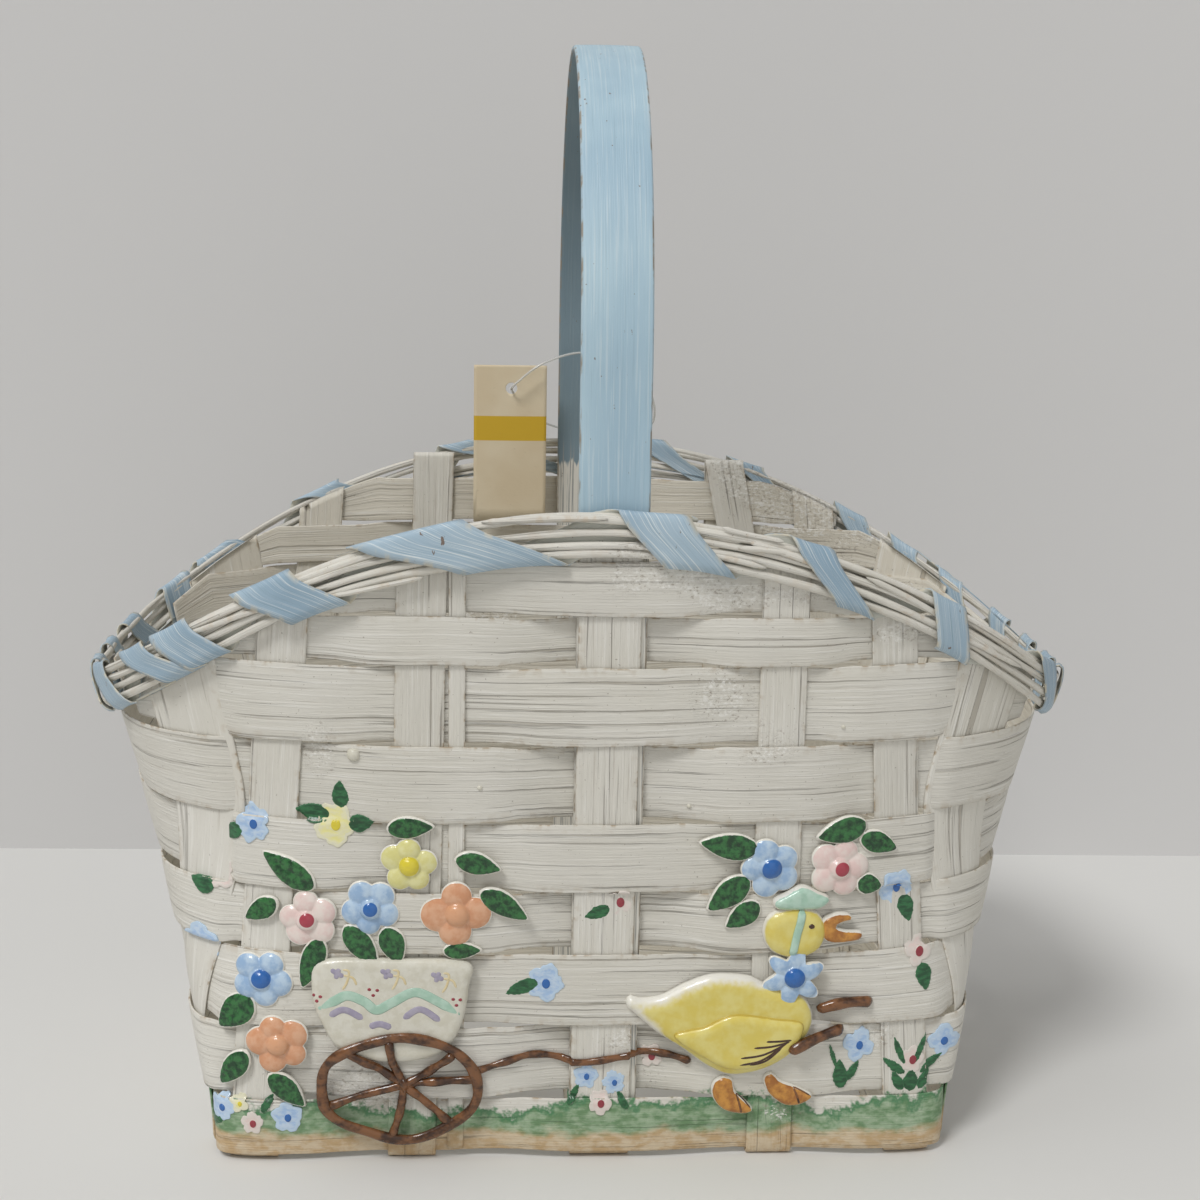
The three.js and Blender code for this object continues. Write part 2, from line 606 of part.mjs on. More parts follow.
// The cart wheel: an oval rim with spokes, cut as windows between neighbouring spokes.
function addWheel() {
  const oval = (grow, turn) => new THREE.Vector2(WHEEL.x + (WHEEL.halfWidth + grow) * Math.cos(turn),
    WHEEL.z + (WHEEL.halfHeight + grow) * Math.sin(turn));
  const shape = new THREE.Shape(Array.from({ length: 28 }, (_, i) => oval(0, (2 * Math.PI * i) / 28)));
  const bearings = WHEEL.spokeBearings.map(THREE.MathUtils.degToRad).sort((a, b) => a - b);
  bearings.forEach((from, i) => {
    const to = i + 1 < bearings.length ? bearings[i + 1] : bearings[0] + 2 * Math.PI;
    const inset = (r) => Math.asin(WHEEL.spoke / r);
    const window = [];
    const steps = 5;
    for (let k = 0; k <= steps; k += 1) {
      const turn = from + inset(20) + ((to - from - 2 * inset(20)) * k) / steps;
      window.push(oval(-WHEEL.rim, turn));
    }
    const near = [to - inset(WHEEL.hub), from + inset(WHEEL.hub)];
    near.forEach((turn) => window.push(new THREE.Vector2(
      WHEEL.hubX + WHEEL.hub * 1.5 * Math.cos(turn), WHEEL.hubZ + WHEEL.hub * 1.5 * Math.sin(turn))));
    shape.holes.push(new THREE.Path(window));
  });
  addMesh('cart_wheel', reliefGeometry(shape, [WHEEL.x, WHEEL.z], 6.1, 2.6), 'brown');
}

function addCart() {
  addFigure('cart_pot', [[-101.3, 70], [-97.7, 56.6], [-89.5, 45], [-70.6, 41.4], [-54, 45.2],
    [-46.5, 56], [-43.6, 72], [-45, 79.4], [-70.5, 79.6], [-96.5, 79.4]], 30, 2.7, 2.6, 'white');
  addWheel();
  addMesh('cart_pole', reliefGeometry(twigShape([[-35.5, 38.6], [-18, 42.3], [-2, 39.6], [18, 42.3],
    [38.6, 41.3]], 2.6), [1.5, 41], 2.8, 2.4), 'brown');
}

function addDuck() {
  addFigure('duck_body', [[15.5, 64], [21.5, 61.8], [30, 66], [37.7, 71.5], [47, 74.6], [59.5, 74.1],
    [63, 69], [74, 65], [84, 64.5], [85, 57], [80.5, 47], [69.8, 38.6], [56, 35.3], [46, 39],
    [36.2, 46.3], [26.1, 53.6], [20, 60.5]], 40, 2.8, 2.8, 'yellow');
  addFigure('duck_wing', [[32.7, 52.6], [44, 56.3], [55, 61], [70, 59.4], [81, 57], [78, 47.2],
    [67.5, 40.6], [55, 38.6], [44.5, 43.3]], 24, 6.0, 2.2, 'yellow');
  addFigure('duck_head', [[65.6, 92.8], [68, 99], [76.4, 101.2], [84.5, 98.5], [87.4, 92.5],
    [84.6, 86.2], [77.2, 84.4], [69, 86.5]], 20, 2.8, 3.4, 'yellow');
  addFigure('duck_beak', [[88.1, 97], [95, 97.4], [97.5, 95.6], [95.2, 93.8], [101.5, 90.8],
    [99, 89.2], [91, 89.3], [88.2, 91]], 16, 2.8, 2.4, 'orange');
  addFigure('duck_bonnet', [[68.5, 105.6], [70, 102], [79.5, 101.9], [85.5, 101.9], [88.5, 105.4],
    [84.2, 107.2], [78, 107.6], [73, 107]], 16, 2.8, 3.4, 'teal');
  addFigure('duck_foot_left', [[48.3, 31.5], [51.5, 34.3], [55.5, 33.4], [57.2, 28], [63.8, 21],
    [60, 18.9], [52.5, 20.8], [48.2, 26.2]], 16, 2.8, 2.4, 'orange');
  addFigure('duck_foot_right', [[67.4, 33.5], [70.2, 36], [74, 32.6], [79, 30.4], [86.4, 26.4],
    [82, 22.6], [75.5, 22.6], [69.6, 27.4]], 16, 2.8, 2.4, 'orange');
  addMesh('twig_upper', reliefGeometry(twigShape([[87, 61.4], [96, 63.9], [106.8, 64.2]], 3), [97, 63],
    3, 2.6), 'brown');
  addMesh('twig_lower', reliefGeometry(twigShape([[83.6, 48.2], [89, 51.5], [96.2, 53.8]], 3), [90, 51],
    3, 2.6), 'brown');
  addMesh('duck_collar_flower', reliefGeometry(flowerShape(76.6, 74.8, 10), [76.6, 74.8], 6.2, 3),
    'blue');
}

// flowers: name, paint, middle x and z, radius
const FLOWERS = [
  ['pink', -102.4, 97.2, 10.8, 'flower_pink'], ['blue', -79.6, 102.3, 10.8, 'flower_blue'],
  ['yellow', -65.6, 119, 10.6, 'flower_yellow'], ['peach', -48.3, 100.3, 12.2, 'flower_peach'],
  ['blue', -119.4, 73.4, 11, 'flower_blue_low'], ['peach', -114, 48, 11.6, 'flower_peach_low'],
  ['blue', 66.8, 117.6, 11.2, 'bonnet_flower_blue'], ['pink', 92.6, 116.8, 11.2, 'bonnet_flower_pink'],
];

// the ten longest leaves: middle x and z, length, width, bearing in degrees
const LEAVES = [
  [-109.2, 115.3, 19.5, 8.6, -34], [-64.8, 133.4, 15, 7.2, 4], [-40.4, 119.6, 15, 7.4, -14],
  [-30.8, 103.6, 18, 7.8, -32], [-83, 87.2, 17, 8.4, -52], [-101.4, 80.2, 18, 7.8, 70],
  [-129.4, 59.6, 15, 9.6, 48], [51.2, 126.6, 19, 8.8, -8], [51.4, 107.8, 17, 9, 40],
  [93, 131.2, 16.6, 8.6, 14],
];

function addFlowers() {
  FLOWERS.forEach(([paint, x, z, radius, name]) => {
    addMesh(name, reliefGeometry(flowerShape(x, z, radius), [x, z], 4.1, 3.2), paint);
  });
  LEAVES.forEach((leaf, i) => addMesh(`leaf_${i + 1}`, leafGeometry(leaf), 'leaf'));
}

// ---------------------------------------------------------------- assembly
CROSS_STAKES.forEach(addCrossStake);
LONG_STAKES.forEach(addLongStake);
addFillerStake();
addWeavers();
addHandle();
addReeds();
addLacing();
addTag();
addCart();
addDuck();
addFlowers();

export default basket;
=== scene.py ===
"""Easter basket: whitewashed splint weave, a blue bent-wood hoop, a reed rim bound with ribbon
splint, glossy relief figures and painted flowers on the front, and a card tag on a clear loop.

Shapes are worked out in millimetres and built in metres, +Z up, with the front facing -Y.
"""

import json
import logging
import math
from collections.abc import Callable
from dataclasses import dataclass
from enum import Enum

import bpy
import numpy as np
from mathutils import Matrix, Vector
from mathutils.geometry import delaunay_2d_cdt

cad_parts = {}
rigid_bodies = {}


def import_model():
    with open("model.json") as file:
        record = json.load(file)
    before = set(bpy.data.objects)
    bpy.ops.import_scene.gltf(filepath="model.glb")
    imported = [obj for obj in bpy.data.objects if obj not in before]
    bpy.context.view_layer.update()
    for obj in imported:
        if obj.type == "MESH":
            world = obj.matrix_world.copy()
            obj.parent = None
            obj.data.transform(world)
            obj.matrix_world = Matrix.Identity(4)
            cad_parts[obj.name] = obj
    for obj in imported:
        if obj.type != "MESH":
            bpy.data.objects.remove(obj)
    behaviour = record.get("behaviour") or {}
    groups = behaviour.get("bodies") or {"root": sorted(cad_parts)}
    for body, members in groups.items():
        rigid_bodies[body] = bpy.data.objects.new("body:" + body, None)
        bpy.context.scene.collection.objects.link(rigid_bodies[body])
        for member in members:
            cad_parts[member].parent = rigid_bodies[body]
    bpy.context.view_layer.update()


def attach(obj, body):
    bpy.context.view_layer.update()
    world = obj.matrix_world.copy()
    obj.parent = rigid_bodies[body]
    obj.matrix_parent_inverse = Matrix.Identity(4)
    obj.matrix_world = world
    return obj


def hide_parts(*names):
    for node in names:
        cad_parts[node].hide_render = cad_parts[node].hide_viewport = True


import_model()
MM = 0.001
LOG = logging.getLogger("basket")
Array = np.ndarray


# ------------------------------------------------------------------ small numeric helpers
def smooth(share: Array) -> Array:
    """Eases a share from 0 to 1 with level ends."""
    share = np.clip(share, 0.0, 1.0)
    return share * share * (3 - 2 * share)


def turns(count: int) -> Array:
    """Angles spread evenly round a full turn."""
    return np.linspace(0, 2 * math.pi, count, endpoint=False)


def ripple(rng: np.random.Generator, angle: Array, counts: tuple[int, int], size: float) -> Array:
    """Irregular waviness that closes on itself after a full turn.

    Args:
        rng: source of the random waves.
        angle: where to read it, in radians.
        counts: fewest and most waves in one turn.
        size: about half its greatest height.

    Returns:
        The waviness at each angle.
    """
    waves = rng.integers(counts[0], counts[1] + 1, 5)
    phases = rng.uniform(0, 2 * math.pi, 5)
    sizes = rng.uniform(0.4, 1.0, 5)
    return size * (np.sin(np.multiply.outer(angle, waves) + phases) * sizes).sum(-1) / sizes.sum() * 1.6


def rounded_line(points: list, step: float, closed: bool = False) -> Array:
    """A smooth line through a few points, resampled to even steps.

    Each stretch is a Catmull-Rom cubic: p1 + (p2-p0)t/2 + ... through its two middle points.

    Args:
        points: the points, each of two or more numbers.
        step: spacing wanted along the line.
        closed: whether the line joins its own start.

    Returns:
        Points along the line.
    """
    p = np.array(points, float)
    p = np.vstack([p[-1:], p, p[:2]]) if closed else np.vstack(
        [2 * p[:1] - p[1:2], p, 2 * p[-1:] - p[-2:-1]]
    )
    a, b, c, d = p[:-3, None], p[1:-2, None], p[2:-1, None], p[3:, None]
    t = np.linspace(0, 1, 24, endpoint=False)[None, :, None]
    fine = 0.5 * (2 * b + (c - a) * t + (2 * a - 5 * b + 4 * c - d) * t**2 + (3 * b - a - 3 * c + d) * t**3)
    fine = fine.reshape(-1, p.shape[1])
    fine = np.vstack([fine, fine[:1] if closed else p[-2:-1]])
    run = np.r_[0, np.cumsum(np.linalg.norm(np.diff(fine, axis=0), axis=1))]
    count = max(3, round(run[-1] / step))
    at = np.linspace(0, run[-1], count + 1)[: count if closed else count + 1]
    return np.stack([np.interp(at, run, column) for column in fine.T], -1)


# ------------------------------------------------------------------ the wall
@dataclass(frozen=True)
class WallForm:
    """The basket wall: each level is a superellipse, near a rectangle below and an oval at the rim."""

    base_half_length: float = 140.5
    base_half_width: float = 90.0
    rim_top: float = 250.0
    end_drop: float = 74.0
    rim_half_length: float = 186.0

    def half_length(self, z: Array) -> Array:
        """Half the length at a height: straight at the foot, then flaring evenly."""
        return self.base_half_length + 2.85 * np.log1p(np.exp((z - 19) / 10))

    def half_width(self, z: Array) -> Array:
        """Half the width at a height."""
        return self.base_half_width + 14 / 240 * z

    def squareness(self, z: Array) -> Array:
        """The superellipse's power at a height."""
        return 3 + 7 * np.maximum(0, 1 - z / 150) ** 2 + 9 * np.maximum(0, 1 - z / 90) ** 2

    def point(self, phi: Array, z: Array, offset: Array) -> Array:
        """Points at bearings and heights, moved outwards square to the plan outline.

        Args:
            phi: bearings in radians.
            z: heights in millimetres.
            offset: distances out from the wall's middle surface.

        Returns:
            Points in metres, with a last axis of three.
        """
        phi, z, offset = np.broadcast_arrays(np.asarray(phi, float), z, offset)
        n, a, b = self.squareness(z), self.half_length(z), self.half_width(z)
        cos, sin = np.cos(phi), np.sin(phi)
        r = (np.abs(cos / a) ** n + np.abs(sin / b) ** n) ** (-1 / n)
        east = np.sign(cos) * np.abs(r * cos / a) ** (n - 1) / a
        north = np.sign(sin) * np.abs(r * sin / b) ** (n - 1) / b
        size = np.hypot(east, north)
        return np.stack([r * cos + east / size * offset, r * sin + north / size * offset, z], -1) * MM

    def bearing_of_x(self, x: Array, side: int, z: Array) -> Array:
        """Bearing of the wall at x on the front (side -1) or the back (side 1)."""
        n = self.squareness(z)
        share = np.minimum(1, np.abs(x) / self.half_length(z))
        return np.arctan2(side * self.half_width(z) * (1 - share**n) ** (1 / n), x)

    def bearing_of_y(self, y: Array, side: int, z: Array) -> Array:
        """Bearing of the wall at y on the left (side -1) or the right end (side 1)."""
        n = self.squareness(z)
        share = np.minimum(1, np.abs(y) / self.half_width(z))
        return np.arctan2(y, side * self.half_length(z) * (1 - share**n) ** (1 / n))

    def rim_height(self, x: Array) -> Array:
        """Height of the rim's top line at x: it sags towards both ends."""
        return self.rim_top - self.end_drop * np.abs(x / self.rim_half_length) ** 2.1

    def rim_at(self, phi: Array) -> Array:
        """Height of the rim's top line at bearings: the wall and the line settle on each other."""
        z = np.full(np.shape(phi), self.rim_top)
        for _ in range(25):
            z = self.rim_height(self.point(phi, z, 0)[..., 0] / MM)
        return z

    @staticmethod
    def even_bearings(turn: Array) -> Array:
        """Bearings spread evenly along the long outline, for turns spread evenly in angle."""
        return np.arctan2(100 * np.sin(turn), 165 * np.cos(turn))

    def on_front(self, x: Array, z: Array, offset: Array) -> Array:
        """Points on the front wall at x and z, moved out by offset."""
        return self.point(self.bearing_of_x(x, -1, z), z, offset)


WALL = WallForm()
# heights of the edges between the rows of weavers, from the foot up
ROW_EDGES = (2.4, 25.2, 54.5, 83.6, 107.8, 134.8, 164.3, 194.3, 212.8, 233.3)
ROWS = len(ROW_EDGES) - 1
# how many of the lowest rows go all the way round, and the splints' thickness
FULL_LOOPS = 6
SPLINT = 0.9


@dataclass(frozen=True)
class Stake:
    """An upright splint: its middle at the base and at 200 mm up, and its width."""

    name: str
    base: float
    up: float
    width: float

    def middle(self, z: Array) -> Array:
        """Its middle line's place at a height."""
        return self.base + (self.up - self.base) * z / 200


CROSS_STAKES = (
    Stake("cross_stake_far_left", -124.5, -111.5, 18.5),
    Stake("cross_stake_left", -65, -61.5, 18),
    Stake("cross_stake_centre", 6, 6, 22.4),
    Stake("cross_stake_right", 71, 69.3, 17.3),
    Stake("cross_stake_far_right", 124.5, 110.5, 17.5),
)
LONG_STAKES = (
    Stake("long_stake_front", -68, -79, 17),
    Stake("long_stake_middle", 0, 0, 17),
    Stake("long_stake_back", 68, 79, 17),
)
FILLER = Stake("filler_stake", -48.6, -48.4, 6)
# the handle's legs: middle, width, stand-off from the wall's middle surface, and thickness
LEG_X, LEG_WIDTH, LEG_OFFSET, LEG_THICKNESS = 7.0, 25.4, -2.2, 2.5


class Weave:
    """How far each weaver stands off the wall's middle surface as it passes the stakes."""

    stand_off = 1.45
    behind_leg = 4.2
    side_gap = 0.7
    paint_gap = 0.45

    def knots(self, row: int, z: float) -> tuple[Array, Array]:
        """Bearings and stand-offs at both edges of every crossing, in order round the basket.

        Args:
            row: row number, 1 at the rim.
            z: the row's middle height.

        Returns:
            Rising bearings, and the stand-off at each.
        """
        spans = []
        for side, stakes in ((-1, CROSS_STAKES), (1, CROSS_STAKES[::-1])):
            for stake in stakes:
                middle = stake.middle(z)
                low, high = middle - stake.width / 2, middle + stake.width / 2
                leg = stake.name.endswith("centre")
                if leg:
                    low, high = min(low, LEG_X - LEG_WIDTH / 2), max(high, LEG_X + LEG_WIDTH / 2)
                if side < 0 and stake.name == "cross_stake_left":
                    high = FILLER.middle(z) + FILLER.width / 2
                ends = [
                    float(WALL.bearing_of_x(x, side, z))
                    for x in (low - self.side_gap, high + self.side_gap)]
                spans.append((*(ends if side < 0 else ends[::-1]), leg))
            for stake in LONG_STAKES if side < 0 else LONG_STAKES[::-1]:
                half = stake.width / 2 + self.side_gap
                phi = float(WALL.bearing_of_y(stake.middle(z), -side, z))
                spans.append((*self._reach(phi, half, z), False))
        bearings, offsets = [], []
        for k, (start, end, leg) in enumerate(spans):
            out = (k + row) % 2 == 1
            for phi in (start, end):
                while bearings and phi < bearings[-1]:
                    phi += 2 * math.pi
                bearings.append(phi)
                offsets.append(self.stand_off if out else -(self.behind_leg if leg else self.stand_off))
        return np.array(bearings), np.array(offsets)

    @staticmethod
    def _reach(phi: float, half: float, z: float) -> tuple[float, float]:
        """Bearings a distance along the wall to each side of a bearing."""
        ends = WALL.point(np.array([phi - 1e-4, phi + 1e-4]), z, 0) / MM
        speed = np.linalg.norm(ends[1] - ends[0]) / 2e-4
        return phi - half / speed, phi + half / speed

    def offset(self, row: int, phi: Array, z: float) -> Array:
        """Stand-off of a row's middle surface at bearings: level on each stake, eased between.

        Args:
            row: row number, 1 at the rim.
            phi: bearings in radians.
            z: the row's middle height.

        Returns:
            Stand-offs in millimetres.
        """
        knots, offsets = self.knots(row, z)
        knots, offsets = np.r_[knots, knots[0] + 2 * math.pi], np.r_[offsets, offsets[0]]
        phi = knots[0] + np.mod(phi - knots[0], 2 * math.pi)
        i = np.clip(np.searchsorted(knots, phi, side="right") - 1, 0, len(knots) - 2)
        share = (phi - knots[i]) / np.maximum(knots[i + 1] - knots[i], 1e-9)
        return offsets[i] + (offsets[i + 1] - offsets[i]) * smooth(share)

    def front_surface(self, x: Array, z: Array) -> Array:
        """Stand-off of whatever shows on the front at x and z: a weaver or a stake."""
        z = np.asarray(z, float)
        found = np.full(np.broadcast(x, z).shape, SPLINT / 2)
        phi = WALL.bearing_of_x(x, -1, z)
        for level, (low, high) in enumerate(zip(ROW_EDGES[:-1], ROW_EDGES[1:])):
            here = (z >= low) & (z < high)
            if here.any():
                middle = self.offset(ROWS - level, phi[here], (low + high) / 2)
                found[here] = middle + SPLINT / 2 + self.paint_gap
        for stake in (*CROSS_STAKES, FILLER):
            covered = np.abs(x - stake.middle(z)) < stake.width / 2
            found[covered] = np.maximum(found[covered], SPLINT / 2)
        return found


WEAVE = Weave()


# ------------------------------------------------------------------ meshes
def make_object(
    name: str, points: Array, faces: list, uv: Array, values: dict[str, Array]
) -> bpy.types.Object:
    """Builds one closed mesh whose faces point out.

    Args:
        name: the piece's name.
        points: vertices in metres.
        faces: vertex indices of each face, all turned the same way round.
        uv: texture place of every face corner, in face order, in metres.
        values: named numbers at each vertex, for the finishes to read.

    Returns:
        The linked object.
    """
    flat = np.concatenate([np.asarray(f) for f in faces])
    sizes = np.array([len(f) for f in faces])
    first = np.repeat(np.cumsum(sizes) - sizes, sizes)
    after = np.arange(len(flat)) + 1
    after[np.cumsum(sizes) - 1] = np.cumsum(sizes) - sizes
    a, b, c = points[flat[first]], points[flat], points[flat[after]]
    order = np.arange(len(flat))
    if (a * np.cross(b, c)).sum() < 0:
        order = first + (np.repeat(sizes, sizes) - 1 - (np.arange(len(flat)) - first))
    mesh = bpy.data.meshes.new(name)
    mesh.vertices.add(len(points))
    mesh.vertices.foreach_set("co", points.astype(np.float32).ravel())
    mesh.loops.add(len(flat))
    mesh.loops.foreach_set("vertex_index", flat[order].astype(np.int32))
    mesh.polygons.add(len(faces))
    mesh.polygons.foreach_set("loop_start", (np.cumsum(sizes) - sizes).astype(np.int32))
    mesh.polygons.foreach_set("use_smooth", np.ones(len(faces), bool))
    mesh.uv_layers.new(name="UVMap").data.foreach_set("uv", uv[order].astype(np.float32).ravel())
    for key, value in values.items():
        layer = mesh.attributes.new(key, "FLOAT", "POINT")
        layer.data.foreach_set("value", np.broadcast_to(value, len(points)).astype(np.float32))
    mesh.update(calc_edges=True)
    mesh.validate()
    made = bpy.data.objects.new(name, mesh)
    bpy.context.scene.collection.objects.link(made)
    return made


def tube(
    name: str, grid: Array, loop: bool = False, values: dict[str, Array] | None = None
) -> bpy.types.Object:
    """Skins a row of closed sections: joined in a ring, or closed by a fan at each end.

    Args:
        name: the piece's name.
        grid: sections along the run by points round each, in metres.
        loop: whether the last section joins the first.
        values: numbers at each grid point, for the finishes.

    Returns:
        The linked object.
    """
    n, m = grid.shape[:2]
    i, k = np.meshgrid(np.arange(n if loop else n - 1), np.arange(m), indexing="ij")
    j, q = (i + 1) % n, (k + 1) % m
    quads = np.stack([i * m + k, j * m + k, j * m + q, i * m + q], -1).reshape(-1, 4)
    middles = grid.mean(1)
    ends = np.vstack([middles, middles[:1]]) if loop else middles
    along = np.r_[0, np.cumsum(np.linalg.norm(np.diff(ends, axis=0), axis=1))]
    ring = np.vstack([grid[n // 2], grid[n // 2][:1]])
    around = np.r_[0, np.cumsum(np.linalg.norm(np.diff(ring, axis=0), axis=1))]
    uv = np.stack(
        [
            np.stack([along[a], around[b]], -1)
            for a, b in ((i, k), (i + 1, k), (i + 1, k + 1), (i, k + 1))],
        2
    )
    faces, corners = quads.tolist(), uv.reshape(-1, 2)
    points = grid.reshape(-1, 3)
    data = {key: np.broadcast_to(value, (n, m)).reshape(-1) for key, value in (values or {}).items()}
    if not loop:
        k = np.arange(m)
        q = (k + 1) % m
        last = (n - 1) * m
        fans = [(k, q, n * m), (last + q, last + k, n * m + 1)]
        points = np.vstack([points, middles[:1], middles[-1:]])
        for (x, y, tip), place in zip(fans, (along[0], along[-1])):
            faces += np.stack([x, y, np.full(m, tip)], -1).tolist()
            edge = np.stack(
                [np.full((m, 3), place), np.stack([around[k], around[k + 1], around[k]], -1)], -1)
            corners = np.vstack([corners, edge.reshape(-1, 2)])
        data = {key: np.r_[value, value[0], value[-1]] for key, value in data.items()}
    return make_object(name, points, faces, corners, data)


@dataclass(frozen=True)
class StripSection:
    """Section of a flat splint: two faces and half-round edges."""

    thickness: float = SPLINT
    across: int = 9

    def table(self) -> tuple[Array, Array, Array]:
        """Share across, sideways shift and height of each point round the section."""
        half = self.thickness / 2
        turn = np.radians([50, 0, -50])
        f = np.linspace(0, 1, self.across)
        share = np.r_[f, np.ones(3), f[::-1], np.zeros(3)]
        face_shift = half * (1 - 2 * f)
        edge_shift = half * np.cos(turn) - half
        shift = np.r_[face_shift, edge_shift, face_shift[::-1], -edge_shift]
        height = np.r_[
            np.full(self.across, half), half * np.sin(turn), np.full(self.across, -half),
            half * np.sin(turn[::-1])]
        return share, shift, height

    def marks(self) -> dict[str, Array]:
        """Which points are on the edges, and which face inwards."""
        share, _, height = self.table()
        corner = np.abs(np.abs(height) - self.thickness / 2) > 1e-6
        near = (share < 1e-6) | (share > 1 - 1e-6)
        return {
            "edge": np.where(corner, 1.0, np.where(near, 0.35, 0.0)), "inside": (height < 0).astype(float)}


def inside_outline(points: Array, outline: Array) -> Array:
    """Whether each point lies inside a closed outline, by counting edges crossed to its right."""
    x, y = points[:, :1], points[:, 1:]
    ax, ay = outline[:, 0], outline[:, 1]
    bx, by = np.roll(ax, -1), np.roll(ay, -1)
    spans = (ay > y) != (by > y)
    with np.errstate(divide="ignore", invalid="ignore"):
        cross = (bx - ax) * (y - ay) / (by - ay) + ax
    return (spans & (x < cross)).sum(1) % 2 == 1


def distance_to_outline(points: Array, outline: Array) -> Array:
    """Distance from each point to a closed outline."""
    a, b = outline, np.roll(outline, -1, 0)
    d = b - a
    t = (((points[:, None] - a) * d).sum(-1) / np.maximum((d * d).sum(-1), 1e-12)).clip(0, 1)
    return np.linalg.norm(points[:, None] - (a + t[..., None] * d), axis=-1).min(1)


@dataclass
class Plate:
    """A flat figure with rounded shoulders, laid on the front wall.

    outline is in wall millimetres (along X, up Z). back and front are stand-offs from the wall's
    middle surface. shoulder is how wide the rounded edge is, and edge the share of the height that
    stands straight up there. border is how wide the unpainted edge is, spacing the step between
    vertices, and angle the way the grain of the paint runs. A draped plate follows the weave.
    """

    outline: Array
    back: float
    front: float
    shoulder: float = 1.6
    edge: float = 0.5
    border: float = 0.9
    spacing: float = 1.3
    angle: float = 0.0
    drape: bool = False

    def height(self, points: Array) -> Array:
        """Stand-off of its top at points: the shoulder is a quarter of an ellipse."""
        reach = np.clip(distance_to_outline(points, self.outline) / self.shoulder, 0, 1)
        rise = self.edge + (1 - self.edge) * np.sqrt(1 - (1 - reach) ** 2)
        if self.drape:
            return WEAVE.front_surface(points[:, 0], points[:, 1]) + self.front * rise
        return self.back + (self.front - self.back) * rise

    def build(
        self, name: str, shape: Callable[[Array, Array], Array] | None = None,
        border: Callable[[Array], Array] | None = None
    ) -> bpy.types.Object:
        """Meshes it: a triangulated top, the same below, and a wall between.

        Args:
            name: the piece's name.
            shape: extra height of the top at points, given points and distances to the edge.
            border: border width at points, where it isn't even.

        Returns:
            The linked object.
        """
        low, high = self.outline.min(0), self.outline.max(0)
        xs, zs = (np.arange(low[i] + self.spacing / 2, high[i], self.spacing) for i in (0, 1))
        grid = np.stack(np.meshgrid(xs, zs), -1).reshape(-1, 2)
        side = np.roll(self.outline, -1, 0) - np.roll(self.outline, 1, 0)
        side = np.stack([-side[:, 1], side[:, 0]], -1) / np.maximum(
            np.linalg.norm(side, axis=1, keepdims=True), 1e-9)
        x, z = self.outline.T
        turned = np.sign((x * np.roll(z, -1) - np.roll(x, -1) * z).sum())
        inner = [grid[distance_to_outline(grid, self.outline) > self.shoulder * 0.9 + 0.3]]
        for inset in (0.12 * self.shoulder, 0.4 * self.shoulder, 0.9 * self.shoulder):
            ring = self.outline + turned * inset * side
            inner.append(ring[distance_to_outline(ring, self.outline) > 0.93 * inset])
        inside = np.vstack(inner)
        inside = inside[inside_outline(inside, self.outline)]
        flat = np.vstack([self.outline, inside])
        count = len(self.outline)
        edges = [(i, (i + 1) % count) for i in range(count)]
        got = delaunay_2d_cdt([Vector(p) for p in flat], edges, [], 1, 1e-6)
        flat = np.array([tuple(v) for v in got[0]])
        tris = np.array([f for f in got[2] if len(f) == 3])
        a, b, c = flat[tris[:, 0]], flat[tris[:, 1]], flat[tris[:, 2]]
        clockwise = (b - a)[:, 0] * (c - a)[:, 1] - (b - a)[:, 1] * (c - a)[:, 0] < 0
        tris[clockwise] = tris[clockwise][:, ::-1]
        ways = np.vstack([tris[:, [0, 1]], tris[:, [1, 2]], tris[:, [2, 0]]])
        known = set(map(tuple, ways.tolist()))
        rim = np.array([w for w in ways.tolist() if (w[1], w[0]) not in known])
        size = len(flat)
        distance = distance_to_outline(flat, self.outline)
        top = self.height(flat)
        if shape is not None:
            top = top + shape(flat, distance)
        under = top - self.front - 0.5 if self.drape else np.full(size, self.back)
        points = np.vstack(
            [WALL.on_front(flat[:, 0], flat[:, 1], top), WALL.on_front(flat[:, 0], flat[:, 1], under)])
        walls = np.stack([rim[:, 1], rim[:, 0], rim[:, 0] + size, rim[:, 1] + size], -1)
        faces = tris.tolist() + (tris[:, ::-1] + size).tolist() + walls.tolist()
        turn = math.radians(self.angle)
        uv = flat @ np.array([[math.cos(turn), -math.sin(turn)], [math.sin(turn), math.cos(turn)]]) * MM
        uv = np.vstack([uv, uv])[np.concatenate([np.asarray(f) for f in faces])]
        width = self.border if border is None else border(flat)
        paint = np.clip(distance / np.maximum(width, 1e-3), 0, 3)
        return make_object(name, points, faces, uv, {"paint": np.r_[paint, np.zeros(size)]})


